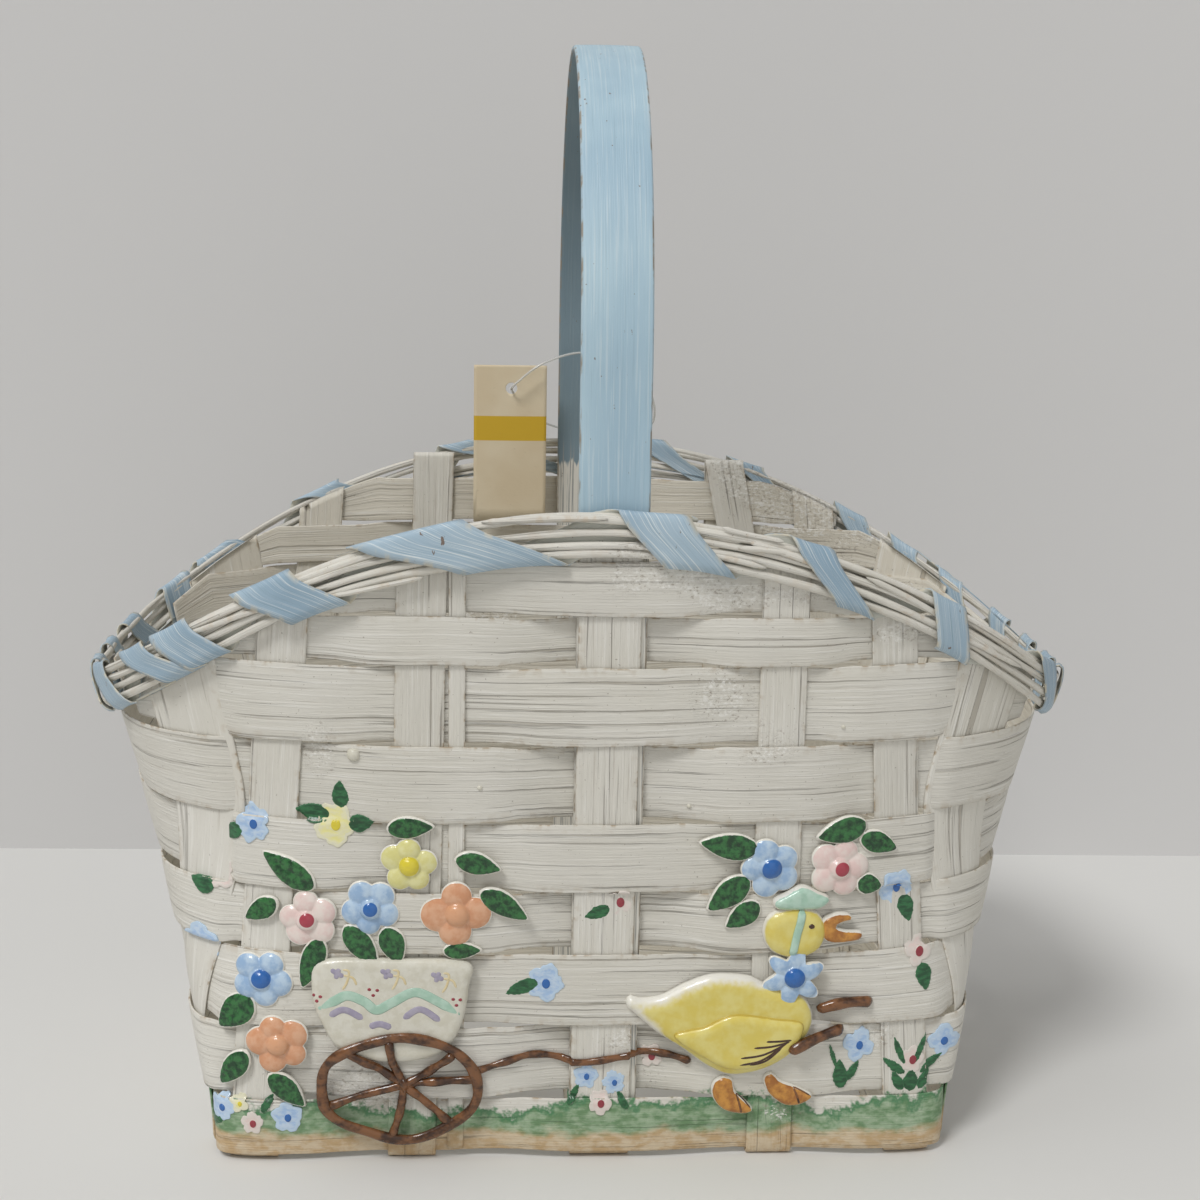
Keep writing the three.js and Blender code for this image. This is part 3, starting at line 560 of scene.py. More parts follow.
def ribbon_on_front(
    name: str, line: Array, width: Array, back: Array, height: float, loop: bool = False, sides: int = 10
) -> bpy.types.Object:
    """A raised bead laid along a line on the front wall.

    Args:
        name: the piece's name.
        line: points along it, in wall millimetres.
        width: its width at each point.
        back: stand-off of its underside at each point.
        height: how far it stands up.
        loop: whether the line closes on itself.
        sides: points round its section, which is an ellipse.

    Returns:
        The linked object.
    """
    ahead = np.roll(line, -1, 0) - np.roll(line, 1, 0)
    if not loop:
        ahead[0], ahead[-1] = line[1] - line[0], line[-1] - line[-2]
    across = np.stack([-ahead[:, 1], ahead[:, 0]], -1) / np.linalg.norm(ahead, axis=1, keepdims=True)
    turn = turns(sides)
    width, back = np.broadcast_to(width, len(line)), np.broadcast_to(back, len(line))
    if not loop:
        run = np.r_[0, np.cumsum(np.linalg.norm(np.diff(line, axis=0), axis=1))]
        width = width * np.sqrt(np.clip(2 * np.minimum(run, run[-1] - run) / width + 0.2, 0, 1))
    place = line[:, None] + across[:, None] * (np.cos(turn) / 2)[None, :, None] * width[:, None, None]
    grow = np.clip(width / max(width.max(), 1e-6), 0.25, 1)
    lift = back[:, None] + height * grow[:, None] * (0.5 + 0.5 * np.sin(turn))[None]
    return tube(name, WALL.on_front(place[..., 0], place[..., 1], lift), loop, {"paint": 3.0})


# ------------------------------------------------------------------ finishes
def linear(colour: str) -> tuple[float, float, float, float]:
    """An sRGB hex colour as the linear colour that shaders use."""
    parts = [int(colour[i : i + 2], 16) / 255 for i in (1, 3, 5)]
    return (*(c / 12.92 if c <= 0.04045 else ((c + 0.055) / 1.055) ** 2.4 for c in parts), 1.0)


# settings of the nodes used most: a blend of two colours, a value eased between levels, a product
BLEND = {"out": 2, "data_type": "RGBA"}
EASED = {"interpolation_type": "SMOOTHSTEP"}
TIMES = {"operation": "MULTIPLY"}


class Graph:
    """The nodes of a material, or of the surroundings, under construction."""

    def __init__(self, owner: bpy.types.Material | bpy.types.World) -> None:
        """Clears the owner's nodes."""
        owner.use_nodes = True
        self.owner, self.tree = owner, owner.node_tree
        self.tree.nodes.clear()

    def add(
        self, kind: str, inputs: dict | tuple = (), out: int | str = 0, **settings: object
    ) -> bpy.types.NodeSocket:
        """Adds a node, sets or links its inputs, and gives one of its outputs.

        Args:
            kind: the node's type, without the word that all of them start with.
            inputs: values, hex colours or other nodes' outputs, in order or by socket name or number.
            out: which output to give back.
            settings: the node's own properties.

        Returns:
            That output socket.
        """
        node = self.tree.nodes.new("ShaderNode" + kind)
        for key, value in settings.items():
            setattr(node, key, value)
        named = inputs.items() if isinstance(inputs, dict) else enumerate(inputs)
        for key, value in named:
            if isinstance(value, bpy.types.NodeSocket):
                self.tree.links.new(value, node.inputs[key])
            else:
                node.inputs[key].default_value = linear(value) if isinstance(value, str) else value
        return node.outputs[out] if len(node.outputs) else None

    def coats(self, colour: object, *layers: tuple) -> bpy.types.NodeSocket:
        """Lays coats of paint over a colour, each where a value passes between two levels.

        Args:
            colour: the colour underneath.
            layers: each coat's value, its levels with the shares they give, and its colour.

        Returns:
            The colour on top.
        """
        for value, levels, hue in layers:
            share = self.add("MapRange", (value, *levels), **EASED)
            colour = self.add("Mix", {0: share, 6: colour, 7: hue}, **BLEND)
        return colour

    def noise(
        self, vector: object, scale: tuple[float, float, float], detail: float = 3.0, rough: float = 0.5
    ) -> bpy.types.NodeSocket:
        """Cloudy noise, at a count per metre along each axis."""
        stretched = self.add("Mapping", {"Vector": vector, "Scale": scale})
        return self.add(
            "TexNoise", {"Vector": stretched, "Scale": 1.0, "Detail": detail, "Roughness": rough})

    def finish(
        self, colour: object, roughness: object, height: object = None, depth: float = 0.0002,
        **extra: object
    ) -> bpy.types.Material:
        """Closes the graph with a surface shader.

        Args:
            colour: its colour.
            roughness: its roughness.
            height: bump height from 0 to 1.
            depth: what a height of 1 is, in metres.
            extra: other shader inputs, with underscores for spaces.

        Returns:
            The material.
        """
        inputs = {"Base Color": colour, "Roughness": roughness}
        inputs.update({key.replace("_", " "): value for key, value in extra.items()})
        if height is not None:
            inputs["Normal"] = self.add("Bump", {"Height": height, "Strength": 1.0, "Distance": depth})
        self.add("OutputMaterial", {"Surface": self.add("BsdfPrincipled", inputs)})
        return self.owner


@dataclass(frozen=True)
class SplintFinish:
    """Ash splint, sawn thin and brushed with white paint.

    The paint lies thick on the flats and thin over the raised grain, so fine grey-brown lines run
    along each strip; edges are worn to bare wood, and the inside took a thinner, yellower coat.
    The grain lines of real splint are 0.1 to 0.3 mm apart, too fine to show, so they are drawn 1 to
    2 mm apart. torn holds middles and half sizes of patches of lifted fibre on the front, in metres.
    """

    name: str = "whitewashed ash splint"
    coat: str = "#DEDBD2"
    groove: str = "#948B7B"
    thin: str = "#D6CFBF"
    bare: str = "#A58F6E"
    ground: bool = True
    torn: tuple = (((-0.098, 0.162), (0.007, 0.012)), ((0.047, 0.183), (0.013, 0.012)))

    def build(self) -> bpy.types.Material:
        """Builds the material."""
        g = Graph(bpy.data.materials.new(self.name))
        uv = g.add("TexCoord", out="UV")
        place = g.add("TexCoord", out="Object")
        tint = g.add("Attribute", out="Fac", attribute_name="tint")
        edge = g.add("Attribute", out="Fac", attribute_name="edge")
        inner = g.add("Attribute", out="Fac", attribute_name="inside")
        shift = g.add("CombineXYZ", {"X": tint, "Y": tint, "Z": tint})
        grained = g.add("VectorMath", (uv, shift), operation="ADD")
        fine = g.noise(grained, (15, 950, 1), 4, 0.7)
        coarse = g.noise(grained, (6, 560, 1), 3, 0.6)
        lines = g.add("MapRange", (coarse, 0.385, 0.335), **EASED)
        hairs = g.add("MapRange", (fine, 0.4, 0.3), **EASED)
        cloud = g.noise(place, (22, 22, 22), 3)
        speckle = g.noise(place, (900, 900, 900), 2)
        coat = g.coats(
            self.coat, (cloud, (0.35, 0.7, 0.0, 0.45), "#D3CFC2"),
            (tint, (0.0, 1.0, 0.0, 0.22), "#C9C5BA"), (inner, (0.4, 0.9, 0.0, 0.75), self.thin)
        )
        worn = g.add("Math", (lines, g.add("MapRange", (cloud, 0.3, 0.65, 0.18, 0.55), **EASED)), **TIMES)
        colour = g.add("Mix", {0: worn, 6: coat, 7: self.groove}, **BLEND)
        thin_hairs = g.add(
            "Math", (hairs, g.add("MapRange", (inner, 0.4, 0.9, 0.4, 0.55), **EASED)), **TIMES)
        colour = g.add("Mix", {0: thin_hairs, 6: colour, 7: "#A2988A"}, **BLEND)
        # Painted highlight: the raised grain ridges are lightened as if they catch the light.
        colour = g.coats(colour, (fine, (0.54, 0.66, 0.0, 0.65), "#EDEBE4"))
        rubbed = g.add(
            "Math",
            (
                edge,
                g.add("MapRange", (g.noise(place, (260, 260, 260), 3), 0.5, 0.66, 0.05, 0.8), **EASED)),
            **TIMES)
        colour = g.add("Mix", {0: rubbed, 6: colour, 7: self.bare}, **BLEND)
        colour = g.coats(colour, (speckle, (0.7, 0.76, 0.0, 0.5), "#7A6E5C"))
        crumb = g.noise(place, (560, 560, 800), 3, 0.7)
        patch = g.add("MapRange", (g.noise(place, (16, 16, 30), 1), 0.64, 0.7), **EASED)
        for (x, z), (half_x, half_z) in self.torn:
            nearby = g.add(
                "Mapping",
                {
                    "Vector": place, "Location": (-x / half_x, 0, -z / half_z),
                    "Scale": (1 / half_x, 0, 1 / half_z)})
            reach = g.add("VectorMath", {0: nearby}, out="Value", operation="LENGTH")
            ragged = g.add("Math", (crumb, 0.9, reach), operation="MULTIPLY_ADD")
            here = g.add(
                "Math",
                (
                    g.add("MapRange", (ragged, 1.5, 1.1), **EASED),
                    g.add(
                        "MapRange", (g.add("SeparateXYZ", {"Vector": place}, out="Y"), -0.05, -0.06),
                        **EASED)),
                **TIMES)
            patch = g.add("Math", (patch, here), operation="MAXIMUM")
        crumbs = g.add("Math", (crumb, patch), **TIMES)
        if self.ground:
            colour = self._ground(g, place, colour)
        relief = g.add("Math", (fine, g.add("Math", (lines, -0.9), **TIMES)), operation="ADD")
        # Painted highlight: the raised crumbs of the torn patches are lightened as if lit.
        colour = g.coats(colour, (crumbs, (0.5, 0.62, 0.0, 0.8), "#F0EEE8"))
        # Painted shade: the low spots between the crumbs of the torn patches are darkened grey.
        shaded_hollows = g.add("Math", (patch, g.add("MapRange", (crumb, 0.42, 0.34, 0.0, 0.7), **EASED)), **TIMES)
        colour = g.add("Mix", {0: shaded_hollows, 6: colour, 7: "#A0968A"}, **BLEND)
        relief = g.add("Math", (crumbs, 0.9, relief), operation="MULTIPLY_ADD")
        return g.finish(
            colour, g.add("MapRange", (fine, 0.3, 0.7, 0.46, 0.7), **EASED), relief, 0.0006, IOR=1.45)

    @staticmethod
    def _ground(g: Graph, place: bpy.types.NodeSocket, under: bpy.types.NodeSocket) -> bpy.types.NodeSocket:
        """Paints a band of grass over sandy earth along the foot of the front."""
        axes = g.add("SeparateXYZ", {"Vector": place}, out="Z")
        z, y = axes, axes.node.outputs["Y"]
        front = g.add("MapRange", (y, -0.07, -0.078), **EASED)
        tufts = g.noise(place, (170, 60, 150), 3, 0.7)
        hills = g.noise(place, (26, 2, 2), 2)
        level = g.add(
            "Math", (tufts, 0.016, g.add("MapRange", (hills, 0.3, 0.7, 0.01, 0.018), **EASED)),
            operation="MULTIPLY_ADD")
        above = g.add("Math", (z, level), operation="SUBTRACT")
        grass = g.add("MapRange", (above, 0.0016, -0.0012), **EASED)
        soil_top = g.add(
            "Math", (g.noise(place, (60, 10, 120), 3, 0.6), 0.014, 0.0035), operation="MULTIPLY_ADD")
        soil = g.add(
            "MapRange", (g.add("Math", (z, soil_top), operation="SUBTRACT"), 0.003, -0.002), **EASED)
        dabs = g.noise(place, (180, 50, 320), 3, 0.6)
        green = g.coats(
            "#6F9068", (dabs, (0.35, 0.62), "#9DB394"), (dabs, (0.6, 0.72, 0.0, 0.35), "#C9D1BC")
        )
        earth = g.coats("#C9A880", (dabs, (0.35, 0.65), "#D9C4A8"))
        share = g.add("Math", (grass, front), **TIMES)
        green = g.coats(green, (above, (-0.001, -0.0045, 0.85, 0.0), "#4A8157"))
        colour = g.add("Mix", {0: share, 6: under, 7: green}, **BLEND)
        share = g.add("Math", (g.add("Math", (soil, front), **TIMES), 0.9), **TIMES)
        return g.add("Mix", {0: share, 6: colour, 7: earth}, **BLEND)


@dataclass(frozen=True)
class BlueFinish:
    """Bent ash hoop or ribbon splint, dipped in thin light blue paint.

    The coat shows the grain as long pale scratches, with small chips down to brown wood and rubbed,
    dirty edges. white_below is the height under which the hoop was painted white with the basket.
    """

    name: str
    coat: str = "#BED5E2"
    light: str = "#D6E8EE"
    bare: str = "#6E5238"
    scratches: float = 0.3
    white_below: float = -1.0
    # colour of the inward face: on the hoop a painted shade, on the ribbon the splint's cream back
    inner: str = "#B5C7CF"
    rubbed: str = "#8D7F6C"
    grain: float = 1300.0

    def build(self) -> bpy.types.Material:
        """Builds the material."""
        g = Graph(bpy.data.materials.new(self.name))
        uv = g.add("TexCoord", out="UV")
        place = g.add("TexCoord", out="Object")
        edge = g.add("Attribute", out="Fac", attribute_name="edge")
        inner = g.add("Attribute", out="Fac", attribute_name="inside")
        grain = g.noise(uv, (22, self.grain, 1), 4, 0.6)
        cloud = g.noise(place, (30, 30, 14), 3)
        # the inward face takes the inner colour, which on the hoop is a painted shade
        colour = g.coats(
            self.coat, (cloud, (0.3, 0.7), self.light),
            (grain, (0.52, 0.64, 0.0, self.scratches), "#EDF0EC"),
            (grain, (0.42, 0.32, 0.0, self.scratches), "#7F97A3"),
            (inner, (0.4, 0.9, 0.0, 0.75), self.inner))
        if self.white_below > 0:
            z = g.add("SeparateXYZ", {"Vector": place}, out="Z")
            ragged = g.add("Math", (g.noise(place, (500, 500, 60), 3), 0.012, z), operation="MULTIPLY_ADD")
            limit = self.white_below + 0.006
            colour = g.coats(colour, (ragged, (limit + 0.001, limit - 0.001), "#D9D6CC"))
            scuff = g.add(
                "Math",
                (
                    g.add("MapRange", (ragged, limit + 0.012, limit - 0.002), **EASED),
                    g.add("MapRange", (grain, 0.5, 0.6), **EASED)),
                **TIMES)
            colour = g.add("Mix", {0: scuff, 6: colour, 7: "#9A9B98"}, **BLEND)
        chips = g.add("MapRange", (g.noise(place, (420, 420, 180), 3, 0.6), 0.7, 0.74, 0.0, 0.85), **EASED)
        colour = g.add("Mix", {0: chips, 6: colour, 7: self.bare}, **BLEND)
        rub = g.add("MapRange", (g.noise(place, (200, 200, 90), 3, 0.6), 0.45, 0.62, 0.1, 0.85), **EASED)
        colour = g.add("Mix", {0: g.add("Math", (edge, rub), **TIMES), 6: colour, 7: self.rubbed}, **BLEND)
        return g.finish(
            colour, g.add("MapRange", (cloud, 0.3, 0.7, 0.42, 0.58), **EASED), grain, 0.00018, IOR=1.46)


@dataclass(frozen=True)
class EnamelFinish:
    """Craft enamel brushed over a white relief figure.

    The brush leaves uneven density and soft ridges that catch the light, and the paint stops short
    of the figure's edge, so a white line shows round it.
    """

    name: str
    colour: str
    second: str
    core: str = "#FFFFFF"
    white: str = "#E8E5DB"
    stroke: tuple[float, float, float] = (260.0, 260.0, 260.0)
    gloss: float = 0.30
    depth: float = 0.0003
    fade: float = 0.15

    def build(self) -> bpy.types.Material:
        """Builds the material."""
        g = Graph(bpy.data.materials.new(self.name))
        place = g.add("TexCoord", out="Object")
        paint = g.add("Attribute", out="Fac", attribute_name="paint")
        core = g.add("Attribute", out="Fac", attribute_name="core")
        brushed = g.noise(place, self.stroke, 3, 0.6)
        colour = g.coats(self.colour, (brushed, (0.36, 0.64), self.second))
        wander = g.add("Math", (g.noise(place, (420, 420, 420), 2), 1.1, paint), operation="MULTIPLY_ADD")
        painted = g.add("MapRange", (wander, 1.5 - self.fade, 1.5 + self.fade), **EASED)
        colour = g.add("Mix", {0: painted, 6: self.white, 7: colour}, **BLEND)
        colour = g.coats(colour, (core, (0.42, 0.58), self.core))
        ridges = g.add("Math", (brushed, g.noise(place, (90, 90, 90), 2)), operation="ADD")
        return g.finish(colour, self.gloss, ridges, self.depth, IOR=1.5, Coat_Weight=0.25)


@dataclass(frozen=True)
class CardFinish:
    """Buff manila card with a printed yellow band, matt and a little soiled."""

    name: str = "manila card"
    card: str = "#D8C7A8"
    band: str = "#D2AC33"
    band_top: float = 0.2618
    band_foot: float = 0.2510

    def build(self) -> bpy.types.Material:
        """Builds the material."""
        g = Graph(bpy.data.materials.new(self.name))
        place = g.add("TexCoord", out="Object")
        z = g.add("SeparateXYZ", {"Vector": place}, out="Z")
        fibres = g.noise(place, (500, 500, 900), 4, 0.65)
        colour = g.coats(self.card, (g.noise(place, (40, 40, 40), 3), (0.35, 0.7), "#E0D2B6"))
        inside = g.add(
            "Math",
            (
                g.add("MapRange", (z, self.band_foot - 0.00015, self.band_foot + 0.00015), **EASED),
                g.add("MapRange", (z, self.band_top + 0.00015, self.band_top - 0.00015), **EASED)),
            **TIMES)
        colour = g.add("Mix", {0: inside, 6: colour, 7: self.band}, **BLEND)
        colour = g.coats(colour, (fibres, (0.62, 0.75, 0.0, 0.3), "#A89474"))
        return g.finish(colour, 0.85, fibres, 0.00006, IOR=1.45)


@dataclass(frozen=True)
class NylonFinish:
    """Clear moulded nylon: the thin loop is glassy, with a milky core."""

    name: str = "clear moulded nylon"

    def build(self) -> bpy.types.Material:
        """Builds the material."""
        g = Graph(bpy.data.materials.new(self.name))
        return g.finish("#F2F2EE", 0.22, IOR=1.53, Transmission_Weight=0.55)


class Paint(Enum):
    """The finishes of the object."""

    SPLINT = SplintFinish()
    REED = SplintFinish("whitewashed reed", "#E2DFD6", "#9A907E", "#D6D0C0", "#BE9A66", False)
    # The hoop's inner colour is a painted shade: its inward face is drawn dark as if in shadow.
    HOOP = BlueFinish(
        "blue-painted bent ash hoop", coat="#A0BBCB", light="#B2CBD7", white_below=0.240, scratches=0.2,
        inner="#5F7078"
    )
    RIBBON = BlueFinish(
        "blue-painted ribbon splint", coat="#8FA8BA", light="#A8BDCB", scratches=0.6, grain=2300,
        inner="#CFCBBB", rubbed="#D6CDB6"
    )
    CARD = CardFinish()
    NYLON = NylonFinish()
    WHITE = EnamelFinish("white enamel on cast relief", "#DAD7CA", "#D0CCBC", white="#DAD7CA")
    DUCK = EnamelFinish("duck yellow enamel", "#D9C65F", "#DFD27F", stroke=(120, 120, 120), fade=0.7)
    # On the wing the edge colour is a darker yellow: a painted shade line along the wing's raised edge.
    WING = EnamelFinish(
        "duck yellow enamel on the wing", "#D9C65F", "#DFD27F", white="#C2AA4C", stroke=(120, 120, 120)
    )
    ORANGE = EnamelFinish("orange enamel", "#CC9140", "#A0652A", stroke=(220, 220, 220))
    TEAL = EnamelFinish("teal enamel", "#A4C6B2", "#B7D3C2")
    BROWN = EnamelFinish(
        "brown enamel over twig relief", "#3A2110", "#7D5230", white="#B9A285", stroke=(150, 150, 210),
        gloss=0.22, depth=0.0005
    )
    LEAF = EnamelFinish(
        "leaf green enamel", "#113B1E", "#33703A", stroke=(420, 420, 420), gloss=0.2, depth=0.0005
    )
    PINK = EnamelFinish("pink enamel", "#E8DBD3", "#E3C8C2", "#A9404E", stroke=(160, 160, 160), gloss=0.22)
    BLUE = EnamelFinish("blue enamel", "#96B3D3", "#BACFE2", "#2F66AC", stroke=(200, 200, 200), gloss=0.2)
    LEMON = EnamelFinish(
        "lemon enamel", "#E2DEA4", "#D9D38A", "#DCCB3C", stroke=(200, 200, 200), gloss=0.24
    )
    PEACH = EnamelFinish(
        "peach enamel", "#D2966F", "#DDAC8A", "#D8A27C", stroke=(200, 200, 200), gloss=0.22
    )
    VIOLET = EnamelFinish("grey violet enamel", "#9C95AA", "#ABA5B5")
    CHERRY = EnamelFinish("dark red enamel", "#8E2F3B", "#A03E48")
    DARK = EnamelFinish("dark brown enamel", "#3A2418", "#4A2E1C")
    BUFF = EnamelFinish("yellow ochre enamel", "#D9C79A", "#E0D3AE")
    WASH_BLUE = EnamelFinish(
        "thin blue enamel on splint", "#A3BFE0", "#C3D4E6", "#3D6DB0", white="#BBD0E4", gloss=0.5,
        stroke=(300, 300, 500)
    )
    WASH_YELLOW = EnamelFinish(
        "thin yellow enamel on splint", "#E9E39A", "#E6E2BC", "#E3D552", white="#E2DFC4", gloss=0.5,
        stroke=(300, 300, 500)
    )
    WASH_PINK = EnamelFinish(
        "thin pink enamel on splint", "#E0CDC6", "#DED3CB", "#B85264", white="#DDD4CC", gloss=0.5,
        stroke=(300, 300, 500)
    )
    WASH_LEAF = EnamelFinish(
        "thin green enamel on splint", "#17492A", "#2D6E41", white="#2F6A42", gloss=0.42,
        stroke=(300, 300, 700)
    )


MATERIALS: dict[str, bpy.types.Material] = {}


def dress(
    piece: bpy.types.Object, paint: Paint, body: str = "basket",
    stands_for: tuple[str, ...] = ()
) -> None:
    """Gives a piece its finish, and says what it rides on and stands for.

    Args:
        piece: the finished piece.
        paint: its finish.
        body: the body that it moves with.
        stands_for: the CAD nodes that it replaces.
    """
    if paint.name not in MATERIALS:
        MATERIALS[paint.name] = paint.value.build()
    piece.data.materials.append(MATERIALS[paint.name])
    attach(piece, body)
    if stands_for:
        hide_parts(*stands_for)


# ------------------------------------------------------------------ the woven body
class Weavers:
    """The nine rows of splint that run round the basket.

    A short strip ends where less than `narrowest` of it is left `under_rim`, or `furthest` out.
    """

    under_rim = 4.0
    narrowest = 3.0
    furthest = 168.0

    def build(self, rng: np.random.Generator) -> None:
        """Builds every row: the lowest are loops, the upper ones a strip on each side."""
        for level in range(ROWS):
            row = ROWS - level
            t = np.linspace(-math.pi, math.pi, 680, endpoint=False)
            if level < FULL_LOOPS:
                self._strip(f"weaver_row_{row}", level, WALL.even_bearings(t), True, rng)
                continue
            for side, word in ((-1, "front"), (1, "back")):
                phi = WALL.even_bearings(np.linspace(side * 0.02, side * (math.pi - 0.02), 340))
                room = WALL.rim_at(phi) - self.under_rim - ROW_EDGES[level]
                x = WALL.point(phi, ROW_EDGES[level], 0)[:, 0] / MM
                phi = phi[(room > self.narrowest) & (np.abs(x) < self.furthest)]
                self._strip(f"weaver_row_{row}_{word}", level, phi, False, rng)

    @staticmethod
    def _strip(name: str, level: int, phi: Array, loop: bool, rng: np.random.Generator) -> None:
        """Builds one weaver between two row edges.

        Args:
            name: its node name.
            level: how many rows are below it.
            phi: bearings along it.
            loop: whether it closes on itself.
            rng: source of its waviness.
        """
        row = ROWS - level
        low, high = ROW_EDGES[level], ROW_EDGES[level + 1]
        bottom = low + 0.35 + ripple(rng, phi, (3, 14), 0.4) + ripple(rng, phi, (40, 90), 0.08)
        top = high - 0.25 + ripple(rng, phi, (3, 14), 0.4) + ripple(rng, phi, (40, 90), 0.08)
        if level == 0:
            bottom = np.maximum(bottom, 1.0)
        top = np.minimum(top, WALL.rim_at(phi) - 2.6)
        middle = WEAVE.offset(row, phi, (low + high) / 2)
        pinch = 0.85 * smooth((0.6 * Weave.stand_off - middle) / (1.5 * Weave.stand_off))
        bottom, top = bottom + pinch * (level > 0), top - pinch
        middle = middle + ripple(rng, phi, (5, 24), 0.22)
        share, shift, height = StripSection().table()
        z = bottom[:, None] + share * (top - bottom)[:, None] + shift
        bulge = 0.3 * (1 - (2 * share - 1) ** 2)
        offset = middle[:, None] + height + bulge
        grid = WALL.point(phi[:, None], z, offset)
        marks = StripSection().marks()
        piece = tube(name, grid, loop, {**marks, "tint": rng.uniform(0, 1)})
        dress(piece, Paint.SPLINT, stands_for=(name,))


class Stakes:
    """The splints that cross under the basket and stand up as its warp."""

    bend = 3.5
    lift = 1.4
    tip_drop = 1.5
    over_half = 16.0
    fold_radius = 1.45
    fold_foot = 203.0

    def build(self, rng: np.random.Generator) -> None:
        """Builds the cross stakes, the long stakes and the filler."""
        for order, stake in enumerate(CROSS_STAKES):
            over = [s.base for i, s in enumerate(LONG_STAKES) if (i + order) % 2 == 0]
            self._through(stake, over, False, rng)
        for order, stake in enumerate(LONG_STAKES):
            over = [s.base for i, s in enumerate(CROSS_STAKES) if (i + order) % 2 == 1]
            self._through(stake, over, True, rng)
        self._fold(CROSS_STAKES[1], 0.0, rng)
        self._fold(CROSS_STAKES[3], 7.0, rng)
        self._filler(rng)

    def _wall_run(
        self, stake: Stake, side: int, foot: float, lengthways: bool, rng: np.random.Generator
    ) -> Array:
        """Sections of a stake on one wall, from the rim down to a height.

        Args:
            stake: which stake.
            side: -1 or 1, for the wall it stands on.
            foot: where the wall part ends.
            lengthways: whether it stands on the basket's ends.
            rng: source of its waviness.

        Returns:
            Sections by points round each, in metres.
        """
        share, shift, height = StripSection().table()
        run = np.linspace(0, 1, 72)[:, None]
        across = (share - 0.5) * stake.width + shift
        guess = np.full_like(across, 215.0)
        for _ in range(6):
            phi = self._bearing(stake, across, side, guess, lengthways)
            guess = WALL.rim_at(phi) - self.tip_drop
        z = foot + (guess[None] - foot) * (1 - run)
        sway = ripple(rng, run * 1.6, (2, 5), 0.16)
        offset = height + ripple(rng, run * 1.6, (4, 18), 0.12) + 0.15 * (1 - (2 * share - 1) ** 2)
        phi = self._bearing(
            stake, across[None] * (1 + 0.01 * sway) + sway * smooth(1 - run), side, z, lengthways)
        return WALL.point(phi, z, offset)

    @staticmethod
    def _bearing(stake: Stake, across: Array, side: int, z: Array, lengthways: bool) -> Array:
        """Bearings of points across a stake."""
        if lengthways:
            return WALL.bearing_of_y(stake.middle(z) + across, side, z)
        return WALL.bearing_of_x(stake.middle(z) + across, side, z)

    def _through(self, stake: Stake, over: list[float], lengthways: bool, rng: np.random.Generator) -> None:
        """Builds a stake that runs down one wall, across the base and up the other.

        The base part rises over each strip in `over` and lies low elsewhere; each bend is a quarter
        circle, R + d from its middle for a point d out from the strip's own middle.

        Args:
            stake: which stake.
            over: middles of the strips that it passes over.
            lengthways: whether it runs along the basket.
            rng: source of its waviness.
        """
        share, shift, depth = StripSection().table()
        across = stake.base + (share - 0.5) * stake.width + shift
        low = SPLINT / 2
        bearing = WALL.bearing_of_y(across, 1, 5.0) if lengthways else WALL.bearing_of_x(across, -1, 5.0)
        reach = np.abs(WALL.point(bearing, 5.0, 0)[:, 0 if lengthways else 1]) / MM
        near = [m for m in over if abs(m) + self.over_half > reach.min() - self.bend]
        end = low + (self.lift if near else 0)
        walls = [self._wall_run(stake, side, end + self.bend, lengthways, rng) for side in (-1, 1)]
        turn = np.linspace(0, math.pi / 2, 8)[1:, None]
        bends = []
        for side in (-1, 1):
            run = side * (reach - self.bend + (self.bend + depth) * np.cos(turn))
            bends.append((run, end + self.bend - (self.bend + depth) * np.sin(turn)))
        inner = reach - self.bend
        run = np.linspace(-1, 1, 90)[1:-1, None] * inner[None]
        rise = np.zeros_like(run)
        for middle in over:
            gap = np.abs(run - middle)
            if middle in near:
                gap = np.where(np.sign(run) * (run - middle) > 0, 0, gap)
            rise = np.maximum(rise, smooth((self.over_half - gap) / 5.5))
        floor = (run, low + self.lift * rise - depth + 0 * run)
        parts = [walls[0]]
        for along, z in (bends[0], floor, (bends[1][0][::-1], bends[1][1][::-1])):
            wide = np.broadcast_to(across, along.shape)
            axes = (along, wide, z) if lengthways else (wide, along, z)
            parts.append(np.stack(axes, -1) * MM)
        parts.append(walls[1][::-1])
        piece = tube(
            stake.name, np.vstack(parts), False, {**StripSection().marks(), "tint": rng.uniform(0, 1)})
        dress(piece, Paint.SPLINT, stands_for=(stake.name,))

    def _fold(self, stake: Stake, slant: float, rng: np.random.Generator) -> None:
        """Builds the end of a back stake that folds over the rim and tucks down inside."""
        share, shift, depth = StripSection().table()
        top = float(WALL.rim_height(stake.middle(235.0))) + 0.4
        turn = np.linspace(0, math.pi, 12)[:, None]
        r = self.fold_radius
        curl = (-r + (r + depth) * np.cos(turn), top - r + (r + depth) * np.sin(turn))
        down = np.linspace(0, 1, 16)[1:, None]
        hang = (-2 * r - depth - 0.5 * down, top - r - (top - r - self.fold_foot) * down + 0 * depth)
        offset, z = (np.vstack(pair) for pair in zip(curl, hang))
        sideways = np.vstack([0 * turn, down]) * slant
        x = stake.middle(z) + (share - 0.5) * stake.width * (
            1 - 0.05 * np.vstack([0 * turn, down])
        ) + shift + sideways
        grid = WALL.point(WALL.bearing_of_x(x, 1, z), z, offset)
        marks = StripSection().marks()
        marks["inside"] = 0.5 + 0 * marks["inside"]
        piece = tube(stake.name + "_fold", grid, False, {**marks, "tint": rng.uniform(0, 1)})
        dress(piece, Paint.SPLINT)

    def _filler(self, rng: np.random.Generator) -> None:
        """Builds the narrow strip that stands beside the left stake."""
        grid = self._wall_run(FILLER, -1, 4.0, False, rng)
        piece = tube(FILLER.name, grid, False, {**StripSection().marks(), "tint": rng.uniform(0, 1)})
        dress(piece, Paint.SPLINT, stands_for=(FILLER.name,))


